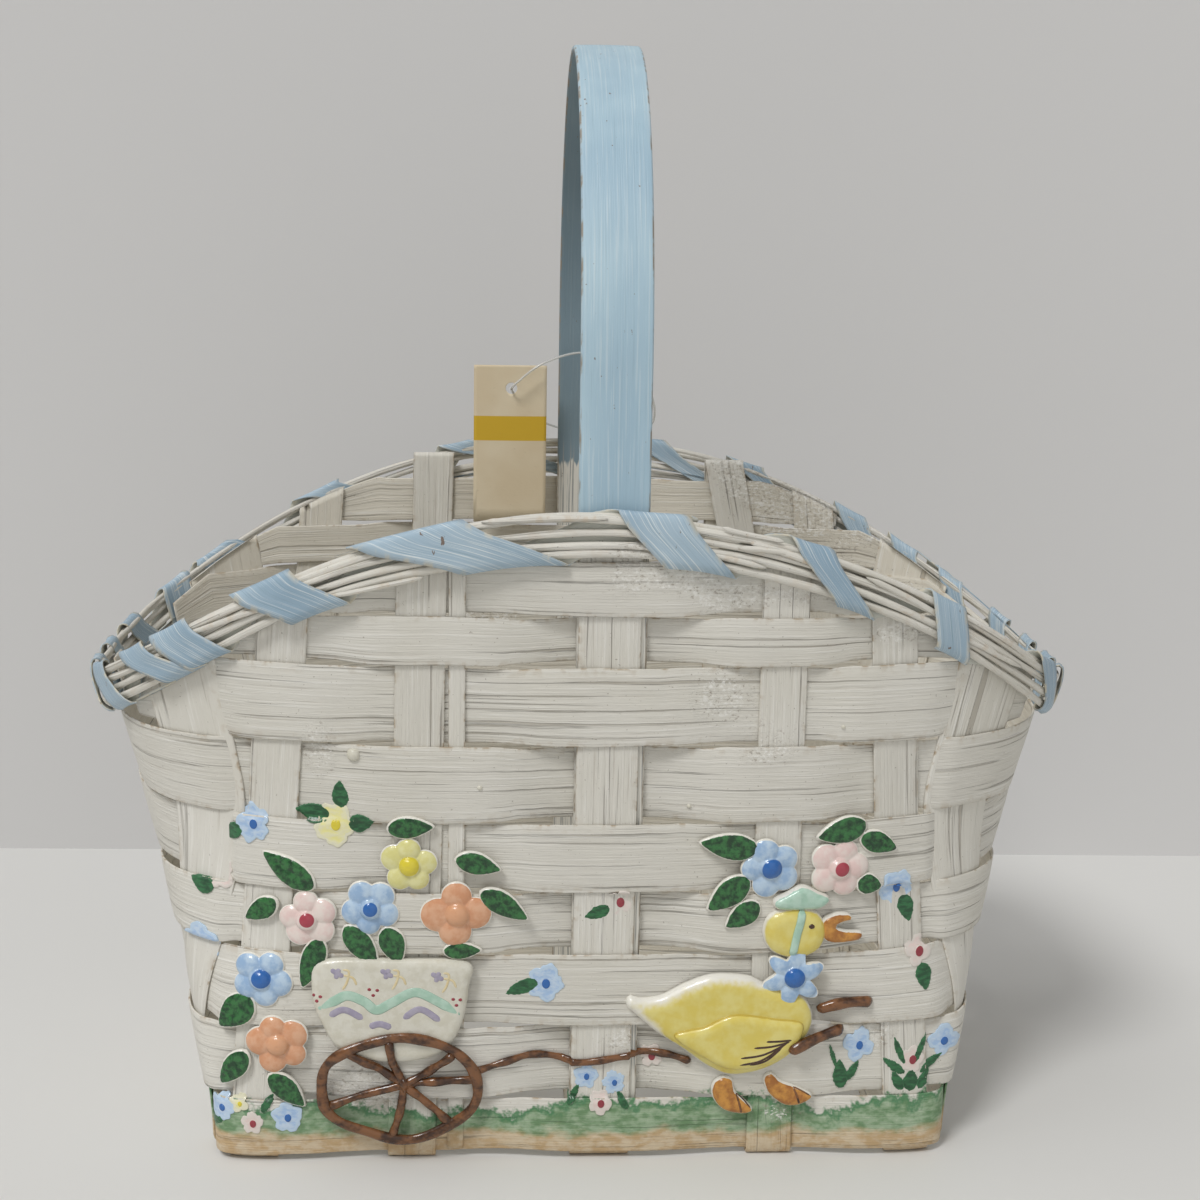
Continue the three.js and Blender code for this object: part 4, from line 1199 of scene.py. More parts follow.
@dataclass(frozen=True)
class Hoop:
    """The bent-wood handle: two legs inside the wall and a half ellipse between them."""

    foot: float = 9.0
    straight_to: float = 300.0
    top: float = 415.0

    def build(self, rng: np.random.Generator) -> None:
        """Builds the hoop as a rounded flat bar swept along its middle line."""
        levels = np.linspace(self.foot, self.straight_to, 110)
        leg = np.stack([-(WALL.half_width(np.minimum(levels, 250)) + LEG_OFFSET), levels], -1)
        reach = -leg[-1, 0]
        turn = np.linspace(0, math.pi, 150)[1:-1]
        rise = self.top - LEG_THICKNESS / 2 - self.straight_to
        arch = np.stack([-reach * np.cos(turn), self.straight_to + rise * np.sin(turn)], -1)
        line = np.vstack([leg, arch, (leg * [-1, 1])[::-1]])
        ahead = np.gradient(line, axis=0)
        ahead /= np.linalg.norm(ahead, axis=1, keepdims=True)
        outward = np.stack([-ahead[:, 1], ahead[:, 0]], -1)
        corner = np.linspace(0, math.pi / 2, 5)
        r, half, wide = 0.8, LEG_THICKNESS / 2, LEG_WIDTH / 2
        f = np.linspace(-1, 1, 13)
        right = np.stack([wide - r + r * np.sin(corner), half - r + r * np.cos(corner)], -1)
        face = np.stack([f * (wide - r), np.full(13, half)], -1)[1:-1]
        upper = np.vstack([(right * [-1, 1])[::-1], face, right])
        section = np.vstack([upper, (upper * [1, -1])[::-1]])
        sway = ripple(rng, np.linspace(0, 1, len(line)), (2, 9), 0.3)
        x = LEG_X + sway[:, None] + section[None, :, 0]
        bow = 0.25 * (1 - (section[:, 0] / wide) ** 2)
        out = line[:, None] + outward[:, None] * (section[:, 1] + bow)[None, :, None]
        grid = np.stack([x, out[..., 0], out[..., 1]], -1) * MM
        # inside marks the hoop's inward face, which its finish paints dark as a painted shade
        marks = {
            "edge": (np.abs(section[:, 0]) > wide - 0.75).astype(float),
            "inside": (section[:, 1] < 0).astype(float)}
        dress(
            tube("handle_hoop", grid, False, marks), Paint.HOOP,
            stands_for=("handle_hoop",))


# ------------------------------------------------------------------ the rim
class Rim:
    """The reeds that clamp the stakes' tips, and the ribbon that binds them."""

    # depth below the top line, stand-off and radius of each reed
    reeds = ((1.9, 4.1, 1.5), (5.7, 4.4, 1.3), (9.4, 4.2, 1.5), (13.3, 4.3, 1.3))
    # top and low places of each wrap of the ribbon and its width along the rim, round the basket
    front = ((-150, -136, 16), (-117, -96, 22), (-66, -27, 38), (19, 37, 25), (75, 94, 15), (126, 131, 14))
    back = (
        (160, 166, 13), (146, 150, 15), (124, 128, 14), (78, 84, 17), (34, 14, 16), (-51, -55, 14),
        (-111, -116, 20), (-154, -158, 15)
    )

    back_slant = 9
    # the tops of the wraps round the two ends, along Y
    right_end = (-66, -40, -12, 18, 46, 70)
    left_end = (66, 38, 8, -22, -50, -70)
    # share of the way, stand-off and depth below the top line: outside the reeds, then behind them
    outside = (
        (0.0, 3.4, -1.9), (0.08, 5.3, -1.0), (0.25, 6.5, 3.6), (0.55, 6.7, 9.0), (0.85, 6.4, 14.2),
        (0.97, 5.0, 16.4), (1.0, 3.5, 17.0)
    )
    behind = ((0.05, 2.6, 16.2), (0.2, 2.3, 13.6), (0.5, 2.3, 8.5), (0.8, 2.3, 3.2), (0.94, 2.5, -0.6))

    def build(self, rng: np.random.Generator) -> None:
        """Builds reeds, splinters and the ribbon."""
        for i, (below, offset, radius) in enumerate(self.reeds):
            name = f"rim_reed_{i + 1}"
            piece = self._reed(name, below, offset, radius, rng)
            dress(piece, Paint.REED, stands_for=(name,))
        dress(self._reed("top_reed", 0.9, 2.8, 1.1, rng), Paint.REED)
        self._splinters(rng)
        self._ribbon(rng)

    @staticmethod
    def _reed(
        name: str, below: float, offset: float, radius: float, rng: np.random.Generator
    ) -> bpy.types.Object:
        """One reed all the way round: a wandering, slightly flattened rod."""
        t = np.linspace(-math.pi, math.pi, 420, endpoint=False)
        phi = WALL.even_bearings(t)
        z = WALL.rim_at(phi) - below + ripple(rng, t, (2, 11), 1.15)
        out = offset + ripple(rng, t, (4, 20), 0.45)
        turn = turns(12)
        size = radius * (1 + ripple(rng, t, (8, 40), 0.12))
        lobes = 1 + 0.12 * np.sin(
            2 * turn + rng.uniform(0, 6)
        ) + 0.05 * np.sin(5 * turn + rng.uniform(0, 6))
        heights = z[:, None] + size[:, None] * np.sin(turn) * lobes * 1.05
        offsets = out[:, None] + size[:, None] * np.cos(turn) * lobes * 0.85
        grid = WALL.point(phi[:, None], heights, offsets)
        shade = {"tint": rng.uniform(0, 1), "edge": 0.12, "inside": 0.0}
        return tube(name, grid, True, shade)

    @staticmethod
    def _splinters(rng: np.random.Generator) -> None:
        """Loose strand ends that stand a little off the bundle."""
        # start, end, depth below the top line at each, and thickness
        loose = (
            (-152, -92, 3, 9, 0.9), (-40, 4, -1.6, 1.4, 1.0), (54, 82, 2.5, 6.5, 1.2),
            (50, 79, 6, 4, 0.9), (96, 150, 4, 8, 1.0), (100, 158, 11, 7, 0.9), (-100, -60, 12, 15, 0.8),
            (44, 66, -0.8, 0.6, 0.8), (8, 60, 9, 12, 0.9), (128, 166, 0.5, 3.5, 1.1))
        for i, (x0, x1, below0, below1, size) in enumerate(loose):
            s = np.linspace(0, 1, 50)
            x = x0 + (x1 - x0) * s
            below = below0 + (below1 - below0) * s + 0.9 * np.sin(3 * s + i)
            z = WALL.rim_height(x) - below
            girth = size * np.minimum(1, np.minimum(s, 1 - s) * 9 + 0.25)
            turn = turns(8)
            lift = 5.7 + 0.4 * np.sin(5 * s + 2 * i)
            zz = z[:, None] + girth[:, None] * np.sin(turn) * 1.2
            grid = WALL.on_front(
                np.broadcast_to(x[:, None], zz.shape), zz,
                lift[:, None] + 0.6 * girth[:, None] * np.cos(turn))
            piece = tube(
                f"loose_strand_{i + 1}", grid, False,
                {"tint": rng.uniform(0, 1), "edge": 0.6 if i in (2, 3) else 0.3, "inside": 0.0})
            dress(piece, Paint.REED)

    def _stations(self) -> list[tuple[float, float, float, float]]:
        """Bearing, stand-off, depth below the top line and width of the ribbon's path.

        Each wrap goes over the reeds, slants down outside them, and climbs between reeds and weave.
        """
        wraps = [(self._bearing(a, -1), self._bearing(b, -1), w) for a, b, w in self.front]
        wraps += self._end_wraps(self.right_end, 1)
        wraps += [(self._bearing(a, 1), self._bearing(b - self.back_slant, 1), w) for a, b, w in self.back]
        wraps += self._end_wraps(self.left_end, -1)
        stations, last = [], -10.0
        for top, low, width in wraps:
            while top < last:
                top += 2 * math.pi
            while low < top:
                low += 2 * math.pi
            stations.append([top, low, width])
            last = low
        path = []
        for i, (top, low, width) in enumerate(stations):
            after = stations[(i + 1) % len(stations)][0] + (2 * math.pi if i + 1 == len(stations) else 0)
            for start, end, profile in ((top, low, self.outside), (low, after, self.behind)):
                for share, offset, below in profile:
                    path.append((start + (end - start) * share, offset, below, width))
        return path

    @staticmethod
    def _end_wraps(ys: tuple[float, ...], side: int) -> list[tuple[float, float, float]]:
        """Wraps round one end, evenly slanted: bearings of top and low places, and width."""
        level, slant, width = 185.0, 12, 13.0
        ends = [[float(WALL.bearing_of_y(y + more, side, level)) for more in (0, side * slant)] for y in ys]
        return [(top, low, width) for top, low in ends]

    @staticmethod
    def _bearing(x: float, side: int) -> float:
        """Bearing on the rim at x."""
        return float(WALL.bearing_of_x(x, side, float(WALL.rim_height(x)) - 8))

    def _ribbon(self, rng: np.random.Generator) -> None:
        """Builds the ribbon: sections as wide along the rim as the wrap's slant makes them."""
        path = np.array(self._stations())
        line = rounded_line((path * [160, 1, 1, 1]).tolist(), 1.3)
        phi, out, below, width = line.T
        phi = phi / 160
        flutter = np.linspace(0, 12, len(line))
        width = width * (1 + ripple(rng, flutter, (3, 20), 0.06))
        share = np.linspace(-0.5, 0.5, 9)
        faces = np.r_[share, share[::-1]]
        thick = np.r_[np.full(9, 0.3), np.full(9, -0.3)]
        spread = WALL.point(np.stack([phi - 0.01, phi + 0.01]), WALL.rim_at(phi), 0) / MM
        speed = np.linalg.norm(spread[1] - spread[0], axis=-1) / 0.02
        across = phi[:, None] + faces * (width / speed)[:, None]
        z = WALL.rim_at(across) - below[:, None]
        run = np.gradient(np.stack([out, -below], -1), axis=0)
        run /= np.maximum(np.linalg.norm(run, axis=1, keepdims=True), 1e-6)
        cup = 0.5 * (np.abs(2 * faces) ** 2) + ripple(rng, flutter, (30, 80), 0.15)[:, None]
        normal = np.stack([-run[:, 1], run[:, 0]], -1) * -1
        lift = thick + cup
        offset = out[:, None] + normal[:, :1] * -lift
        grid = WALL.point(across, z + normal[:, 1:] * -lift, offset)
        marks = {"edge": np.where(np.abs(faces) > 0.49, 1.0, 0.0), "inside": (thick < 0).astype(float)}
        dress(
            tube("rim_lacing", grid, False, marks), Paint.RIBBON,
            stands_for=("rim_lacing",))


# ------------------------------------------------------------------ the tag
@dataclass(frozen=True)
class Tag:
    """A manila tag with a punched hole, on a closed loop of clear nylon."""

    x: float = -27.2
    y: float = 88.0
    top: float = 284.0
    width: float = 31.75
    height: float = 69.5
    hole: tuple[float, float, float] = (-26.7, 274.0, 2.5)

    def build(self) -> None:
        """Builds the card and the loop."""
        self._card()
        route = [
            (-26.7, 84.5, 274.2), (-24.5, 82.5, 277), (-13, 83, 285.5), (4, 86, 290), (22, 90, 285.5),
            (34, 95, 273), (37, 101, 260), (31, 107, 253.6), (14, 109.6, 252.8), (-3, 109, 254),
            (-15.5, 104.5, 259), (-23, 99, 266.5), (-26.4, 93, 272.5), (-26.7, 90, 274)]
        line = rounded_line(route, 1.2, True)
        ahead = np.roll(line, -1, 0) - np.roll(line, 1, 0)
        ahead /= np.linalg.norm(ahead, axis=1, keepdims=True)
        side = np.cross(ahead, [0.15, 0.05, 1.0])
        side /= np.linalg.norm(side, axis=1, keepdims=True)
        up = np.cross(side, ahead)
        turn = turns(10)
        grid = line[:, None] + 0.5 * (
            side[:, None] * np.cos(turn)[None, :, None] + up[:, None] * np.sin(turn)[None, :, None])
        dress(tube("tag_loop", grid * MM, True), Paint.NYLON, stands_for=("tag_loop",))

    def _card(self) -> None:
        """Builds the card as a grid of quads round its hole, with rounded corners."""
        rings = 14
        angle = turns(96)
        hx, hz, hr = self.hole
        left, right = self.x - self.width / 2, self.x + self.width / 2
        foot, top = self.top - self.height, self.top
        cos, sin = np.cos(angle), np.sin(angle)
        with np.errstate(divide="ignore"):
            wide = np.where(cos > 0, (right - hx) / np.abs(cos), (hx - left) / np.abs(cos))
            tall = np.where(sin > 0, (top - hz) / np.abs(sin), (hz - foot) / np.abs(sin))
        reach = np.minimum(wide, tall)
        corners = np.array([[right, top], [left, top], [left, foot], [right, foot]]) - [hx, hz]
        for cx, cz in corners:
            exact = math.atan2(cz, cx)
            nearest = np.argmin(np.abs(np.angle(np.exp(1j * (angle - exact)))))
            reach[nearest] = math.hypot(cx, cz) * 0.995
            angle[nearest] = exact
        r = hr + (reach - hr) * np.linspace(0, 1, rings)[:, None] ** 1.5
        x, z = hx + r * np.cos(angle), hz + r * np.sin(angle)
        bow = 0.5 * ((x - self.x) / (self.width / 2)) ** 2 + 0.8 * smooth((top - 20 - z) / 60)
        front, back = (np.stack([x, self.y + bow + lift, z], -1) for lift in (-0.3, 0.3))
        grid = np.vstack([front, back[::-1]])
        dress(tube("tag_card", grid * MM, True), Paint.CARD, "tag", ("tag_card",))


# ------------------------------------------------------------------ relief figures
def flower_reach(turn: Array, radius: float, centres: Array, petals: Array) -> Array:
    """How far a flower reaches at each bearing: the outermost of its round petals."""
    swing = turn[..., None] - centres
    away = 0.56 * radius
    inside = np.maximum(petals**2 - (away * np.sin(swing)) ** 2, 0)
    reach = np.where(
        (np.cos(swing) > 0) & (inside > 0), away * np.cos(swing) + np.sqrt(inside), 0.3 * radius
    )
    return reach.max(-1)


@dataclass(frozen=True)
class Flower:
    """A cast flower: round petals about a button, with a painted eye."""

    name: str
    paint: Paint
    slot: str
    x: float
    z: float
    radius: float
    petals: int = 5
    turn: float = 0.0
    back: float = 1.6
    eye: float = 0.24
    pointed: float = 0.0

    def build(self, rng: np.random.Generator) -> None:
        """Builds it as rings from the button out, closed underneath.

        Heights are the highest of the petals' domes and the button's dome, in millimetres.

        Args:
            rng: source of its unevenness.
        """
        turn = turns(110)
        centres = self.turn + np.arange(self.petals) * 2 * math.pi / self.petals + rng.uniform(
            -0.12, 0.12, self.petals)
        petals = self.radius * rng.uniform(0.42, 0.50, self.petals) * (5 / self.petals) ** 0.4
        reach = flower_reach(turn, self.radius, centres, petals)
        if self.pointed:
            reach = reach * (1 + self.pointed * (np.cos(self.petals * (turn - self.turn)) - 0.4))
        rings = np.r_[np.linspace(0.06, 0.96, 24), 0.985, 1.0]
        r = rings[:, None] * reach
        x, z = r * np.cos(turn), r * np.sin(turn)
        away = 0.56 * self.radius
        spots = np.stack([away * np.cos(centres), away * np.sin(centres)], -1)
        gap = np.hypot(x[..., None] - spots[:, 0], z[..., None] - spots[:, 1]) / petals
        tall = rng.uniform(0.8, 1.15, self.petals)
        domes = (2.9 * tall * np.maximum(1 - gap**2, 0) ** 0.42).max(-1)
        core = np.hypot(x - rng.uniform(-0.5, 0.5), z - rng.uniform(-0.5, 0.5)) / (0.38 * self.radius)
        button = np.where(
            core < 1, 2.0 + 2.9 * np.maximum(1 - core**2, 0) ** 0.6, 0
        ) - 0.9 * np.exp(-(((core - 1.12) / 0.16) ** 2))
        height = np.maximum(np.maximum(domes, button), 1.1) + self.back
        height[-1] = self.back + 0.5
        height[-2] = np.minimum(height[-2], self.back + 1.3)
        pole = np.full((1, len(turn)), self.back + 4.7)
        under = np.full((1, len(turn)), self.back)
        px = np.vstack([x[:1] * 0.02, x, x[-1:], x[:1]]) + self.x
        pz = np.vstack([z[:1] * 0.02, z, z[-1:], z[:1]]) + self.z
        heights = np.vstack([pole, height, under, under])
        rim = np.vstack(
            [
                0 * x[:1] + 3, np.broadcast_to((1 - rings)[:, None] * self.radius / 0.45, x.shape),
                0 * x[:1], 0 * x[:1]])
        eye = np.hypot(px - self.x - 0.3, pz - self.z - 0.2) / (self.eye * self.radius)
        spot = smooth(1.5 - eye)
        spot[-2:] = 0
        grid = WALL.on_front(px, pz, heights)
        piece = tube(self.name, grid, False, {"paint": rim, "core": spot})
        dress(piece, self.paint, stands_for=(self.name,))


def leaf_outline(length: float, width: float, degrees: float, x: float, z: float) -> Array:
    """A leaf: widest a third of the way along, pointed at its tip and blunt at its stem."""
    s = np.linspace(0, 1, 26)
    half = width / 2 * np.sin(math.pi * s**0.8) ** 0.75 * (1.03 - 0.12 * s)
    along = (s - 0.5) * length
    pts = np.vstack([np.stack([along, half], -1), np.stack([along, -half * 0.92], -1)[::-1][1:-1]])
    turn = math.radians(degrees)
    spin = np.array([[math.cos(turn), math.sin(turn)], [-math.sin(turn), math.cos(turn)]])
    return pts @ spin + [x, z]


class Bouquets:
    """Cast flowers and leaves over the cart and over the duck's bonnet."""

    flowers = (
        Flower("flower_pink", Paint.PINK, "pink_enamel", -102.4, 97.2, 10.8, 5, 0.5),
        Flower("flower_blue", Paint.BLUE, "blue_enamel", -79.6, 102.3, 10.8, 5, 0.9),
        Flower("flower_yellow", Paint.LEMON, "lemon_enamel", -65.6, 119, 10.6, 5, 1.5, eye=0.34),
        Flower("flower_peach", Paint.PEACH, "peach_enamel", -48.3, 100.3, 12.2, 4, 1.57, eye=0.36),
        Flower("flower_blue_low", Paint.BLUE, "blue_enamel", -119.4, 73.4, 11, 5, 1.1, eye=0.30),
        Flower("flower_peach_low", Paint.PEACH, "peach_enamel", -114, 48, 11.6, 5, 0.6, eye=0.34),
        Flower("bonnet_flower_blue", Paint.BLUE, "blue_enamel", 66.8, 117.6, 11.2, 5, 0.7, eye=0.34),
        Flower("bonnet_flower_pink", Paint.PINK, "pink_enamel", 92.6, 116.8, 11.2, 5, 1.3),
    )
    # middle x and z, length, width, and bearing from stem to tip in degrees
    leaves = (
        (-109.2, 115.3, 19.5, 8.6, 146), (-64.8, 133.4, 15, 7.2, 4), (-40.4, 119.6, 15, 7.4, -14),
        (-30.8, 103.6, 18, 7.8, -32), (-83, 87.2, 17, 8.4, -52), (-101.4, 80.2, 18, 7.8, -110),
        (-129.4, 59.6, 15, 9.6, 228), (51.2, 126.6, 19, 8.8, 172), (51.4, 107.8, 17, 9, 220),
        (93, 131.2, 16.6, 8.6, 194), (-46, 85.8, 12.5, 6, 2), (-119.6, 99.4, 12.5, 7, 215),
        (-71.6, 87.6, 13.5, 8.4, -70), (-130.4, 37.8, 14.4, 7.4, 236), (-111.2, 29.6, 15.8, 8, -44),
        (57, 99.4, 13.4, 8, 218), (107.4, 125.4, 13.6, 7.4, -22), (104.4, 109.6, 8.8, 7, -12),
    )

    # how many of the leaves are CAD nodes, and how much fuller than listed each is made
    cad_leaves = 10
    longer, wider = 1.2, 1.3

    def build(self, rng: np.random.Generator) -> None:
        """Builds all of them."""
        for flower in self.flowers:
            flower.build(rng)
        for i, (x, z, length, width, degrees) in enumerate(self.leaves):
            outline = leaf_outline(length * self.longer, width * self.wider, degrees, x, z)
            plate = Plate(
                outline, 1.5, 3.9, shoulder=2.2, edge=0.45, border=0.55, spacing=1.0, angle=degrees)
            turn = math.radians(degrees)

            def ridges(p: Array, distance: Array, turn: float = turn, x: float = x, z: float = z) -> Array:
                """A sunk midrib and shallow side veins."""
                across = -(p[:, 0] - x) * math.sin(turn) + (p[:, 1] - z) * math.cos(turn)
                along = (p[:, 0] - x) * math.cos(turn) + (p[:, 1] - z) * math.sin(turn)
                vein = 0.18 * np.sin((along - 0.8 * np.abs(across)) * 2.6) * smooth(distance / 1.5)
                return vein - 0.5 * np.exp(-((across / 0.6) ** 2)) * smooth(distance / 1.5)

            name = f"leaf_{i + 1}"
            dress(
                plate.build(name, ridges), Paint.LEAF,
                stands_for=(name,) if i < self.cad_leaves else ())


def painted_stroke(
    name: str, points: list, width: float, plate: Plate, paint: Paint, height: float = 0.35
) -> None:
    """A painted line on top of a figure, thinner towards both ends.

    Args:
        name: the piece's name.
        points: a few points along it, in wall millimetres.
        width: its width.
        plate: the figure that it is painted on.
        paint: its finish.
        height: how thick the paint stands.
    """
    line = rounded_line(points, 0.5)
    s = np.linspace(0, 1, len(line))
    girth = width * np.minimum(1, 0.35 + 6 * np.minimum(s, 1 - s))
    dress(ribbon_on_front(name, line, girth, plate.height(line) - 0.15, height), paint)


class Cart:
    """The painted pot on its twig wheel, and the pole to the duck."""

    pot = (
        (-101.3, 70), (-97.7, 56.6), (-89.5, 45), (-70.6, 41.4), (-54, 45.2), (-46.5, 56), (-43.6, 72),
        (-44.4, 81.4), (-70.5, 82.6), (-97.5, 81.4)
    )

    def build(self, rng: np.random.Generator) -> None:
        """Builds the pot with its painting, the wheel and the pole."""
        plate = Plate(rounded_line(self.pot, 1.2, True), 1.5, 5.3, shoulder=3.0, edge=0.45, border=0.0)
        dress(plate.build("cart_pot"), Paint.WHITE, stands_for=("cart_pot",))
        self._decorate(plate)
        self._wheel(rng)
        line = rounded_line(
            [
                (-43, 36.6), (-36, 38.6), (-27, 41), (-18, 42.3), (-2, 39.6), (18, 42.3), (30, 42),
                (40, 39.5)],
            0.8)
        s = np.linspace(0, 9, len(line))
        width = 3.0 + ripple(rng, s, (2, 8), 0.45)
        back = WEAVE.front_surface(line[:, 0], line[:, 1])
        back = np.maximum(back, np.convolve(np.pad(back, 4, "edge"), np.ones(9) / 9, "valid")) - 0.3
        dress(
            ribbon_on_front("cart_pole", line, width, back, 2.6), Paint.BROWN,
            stands_for=("cart_pole",))

    @staticmethod
    def _decorate(plate: Plate) -> None:
        """Paints the pot: a zigzag between dots, chevrons and bows."""
        painted_stroke(
            "pot_zigzag",
            [
                (-99, 63), (-93, 66.5), (-88, 68.8), (-82, 66.5), (-77.6, 63.2), (-72, 66), (-63.5, 70.2),
                (-55, 66.5), (-47, 61)],
            3.8, plate, Paint.TEAL, 0.3)
        chevrons = (
            [(-95, 60.6), (-89.4, 63.2), (-82.3, 59.6)], [(-68, 59.6), (-61.5, 63.4), (-54, 58.6)],
            [(-80.5, 56.4), (-76.4, 57.6), (-72, 56)])
        for i, points in enumerate(chevrons):
            painted_stroke(f"pot_chevron_{i + 1}", points, 2.6, plate, Paint.VIOLET)
        spots = (
            (-100.2, 68.6), (-97.9, 68.2), (-99.2, 66.4), (-80.1, 71.3), (-77.2, 71), (-78.7, 69),
            (-49.4, 67.4), (-46.8, 67.2), (-48.2, 65))
        for i, (x, z) in enumerate(spots):
            painted_stroke(
                f"pot_dot_{i + 1}", [(x, z - 0.75), (x, z), (x + 0.1, z + 0.75)], 1.4, plate, Paint.CHERRY)
        for i, (x, z) in enumerate(((-91.6, 77.4), (-73.6, 77.6), (-55.2, 76.4))):
            painted_stroke(
                f"pot_bow_{i + 1}", [(x - 2.4, z + 1.5), (x, z), (x + 2.4, z - 1.3)], 1.9, plate,
                Paint.VIOLET)
            painted_stroke(
                f"pot_bow_tip_{i + 1}", [(x - 0.6, z - 2.3), (x, z), (x + 0.9, z + 2)], 1.8, plate,
                Paint.VIOLET)
            painted_stroke(
                f"pot_ribbon_{i + 1}",
                [(x + 1.8, z + 1.5), (x + 4.2, z + 0.8), (x + 3.4, z - 3.5), (x + 1.6, z - 6.6)], 0.9,
                plate, Paint.BUFF)
            painted_stroke(
                f"pot_curl_{i + 1}", [(x + 2, z - 0.6), (x + 5.6, z - 1.6), (x + 7, z - 4.6)], 0.9, plate,
                Paint.BUFF)

    @staticmethod
    def _wheel(rng: np.random.Generator) -> None:
        """Builds the wheel: a knobbly oval rim, seven spokes and a hub."""
        cx, cz, hx, hz = -69.3, 31.2, -67.7, 32.2
        turn = turns(220)
        wobble = ripple(rng, turn, (2, 8), 0.9)
        rim = np.stack([cx + (29.4 + wobble) * np.cos(turn), cz + (20.9 + wobble) * np.sin(turn)], -1)
        width = 4.1 + ripple(rng, turn, (4, 17), 0.5)
        back = np.full(len(turn), 2.6) + 1.9 * smooth((rim[:, 1] - 36) / 8)
        piece = ribbon_on_front("cart_wheel", rim, width, back, 3.4, True, 14)
        dress(piece, Paint.BROWN, stands_for=("cart_wheel",))
        for i, degrees in enumerate((98, 133, 45, 8, -48, -96, -158)):
            a = math.radians(degrees)
            tip = (cx + 29 * math.cos(a), cz + 20.6 * math.sin(a))
            bend = rng.uniform(-1.3, 1.3)
            middle = ((hx + tip[0]) / 2 - bend * math.sin(a), (hz + tip[1]) / 2 + bend * math.cos(a))
            line = rounded_line([(hx, hz), middle, tip], 0.8)
            s = np.linspace(0, 3, len(line))
            back = 2.4 + 2.2 * smooth((line[:, 1] - 38) / 6)
            spoke = ribbon_on_front(
                f"wheel_spoke_{i + 1}", line, 3.3 + ripple(rng, s, (2, 7), 0.5), back, 3.3)
            dress(spoke, Paint.BROWN)
        hub = ribbon_on_front(
            "wheel_hub", rounded_line([(hx - 2, hz), (hx, hz + 0.3), (hx + 2, hz)], 0.4), 6.4, 3.0, 3.6,
            False, 16)
        dress(hub, Paint.BROWN)


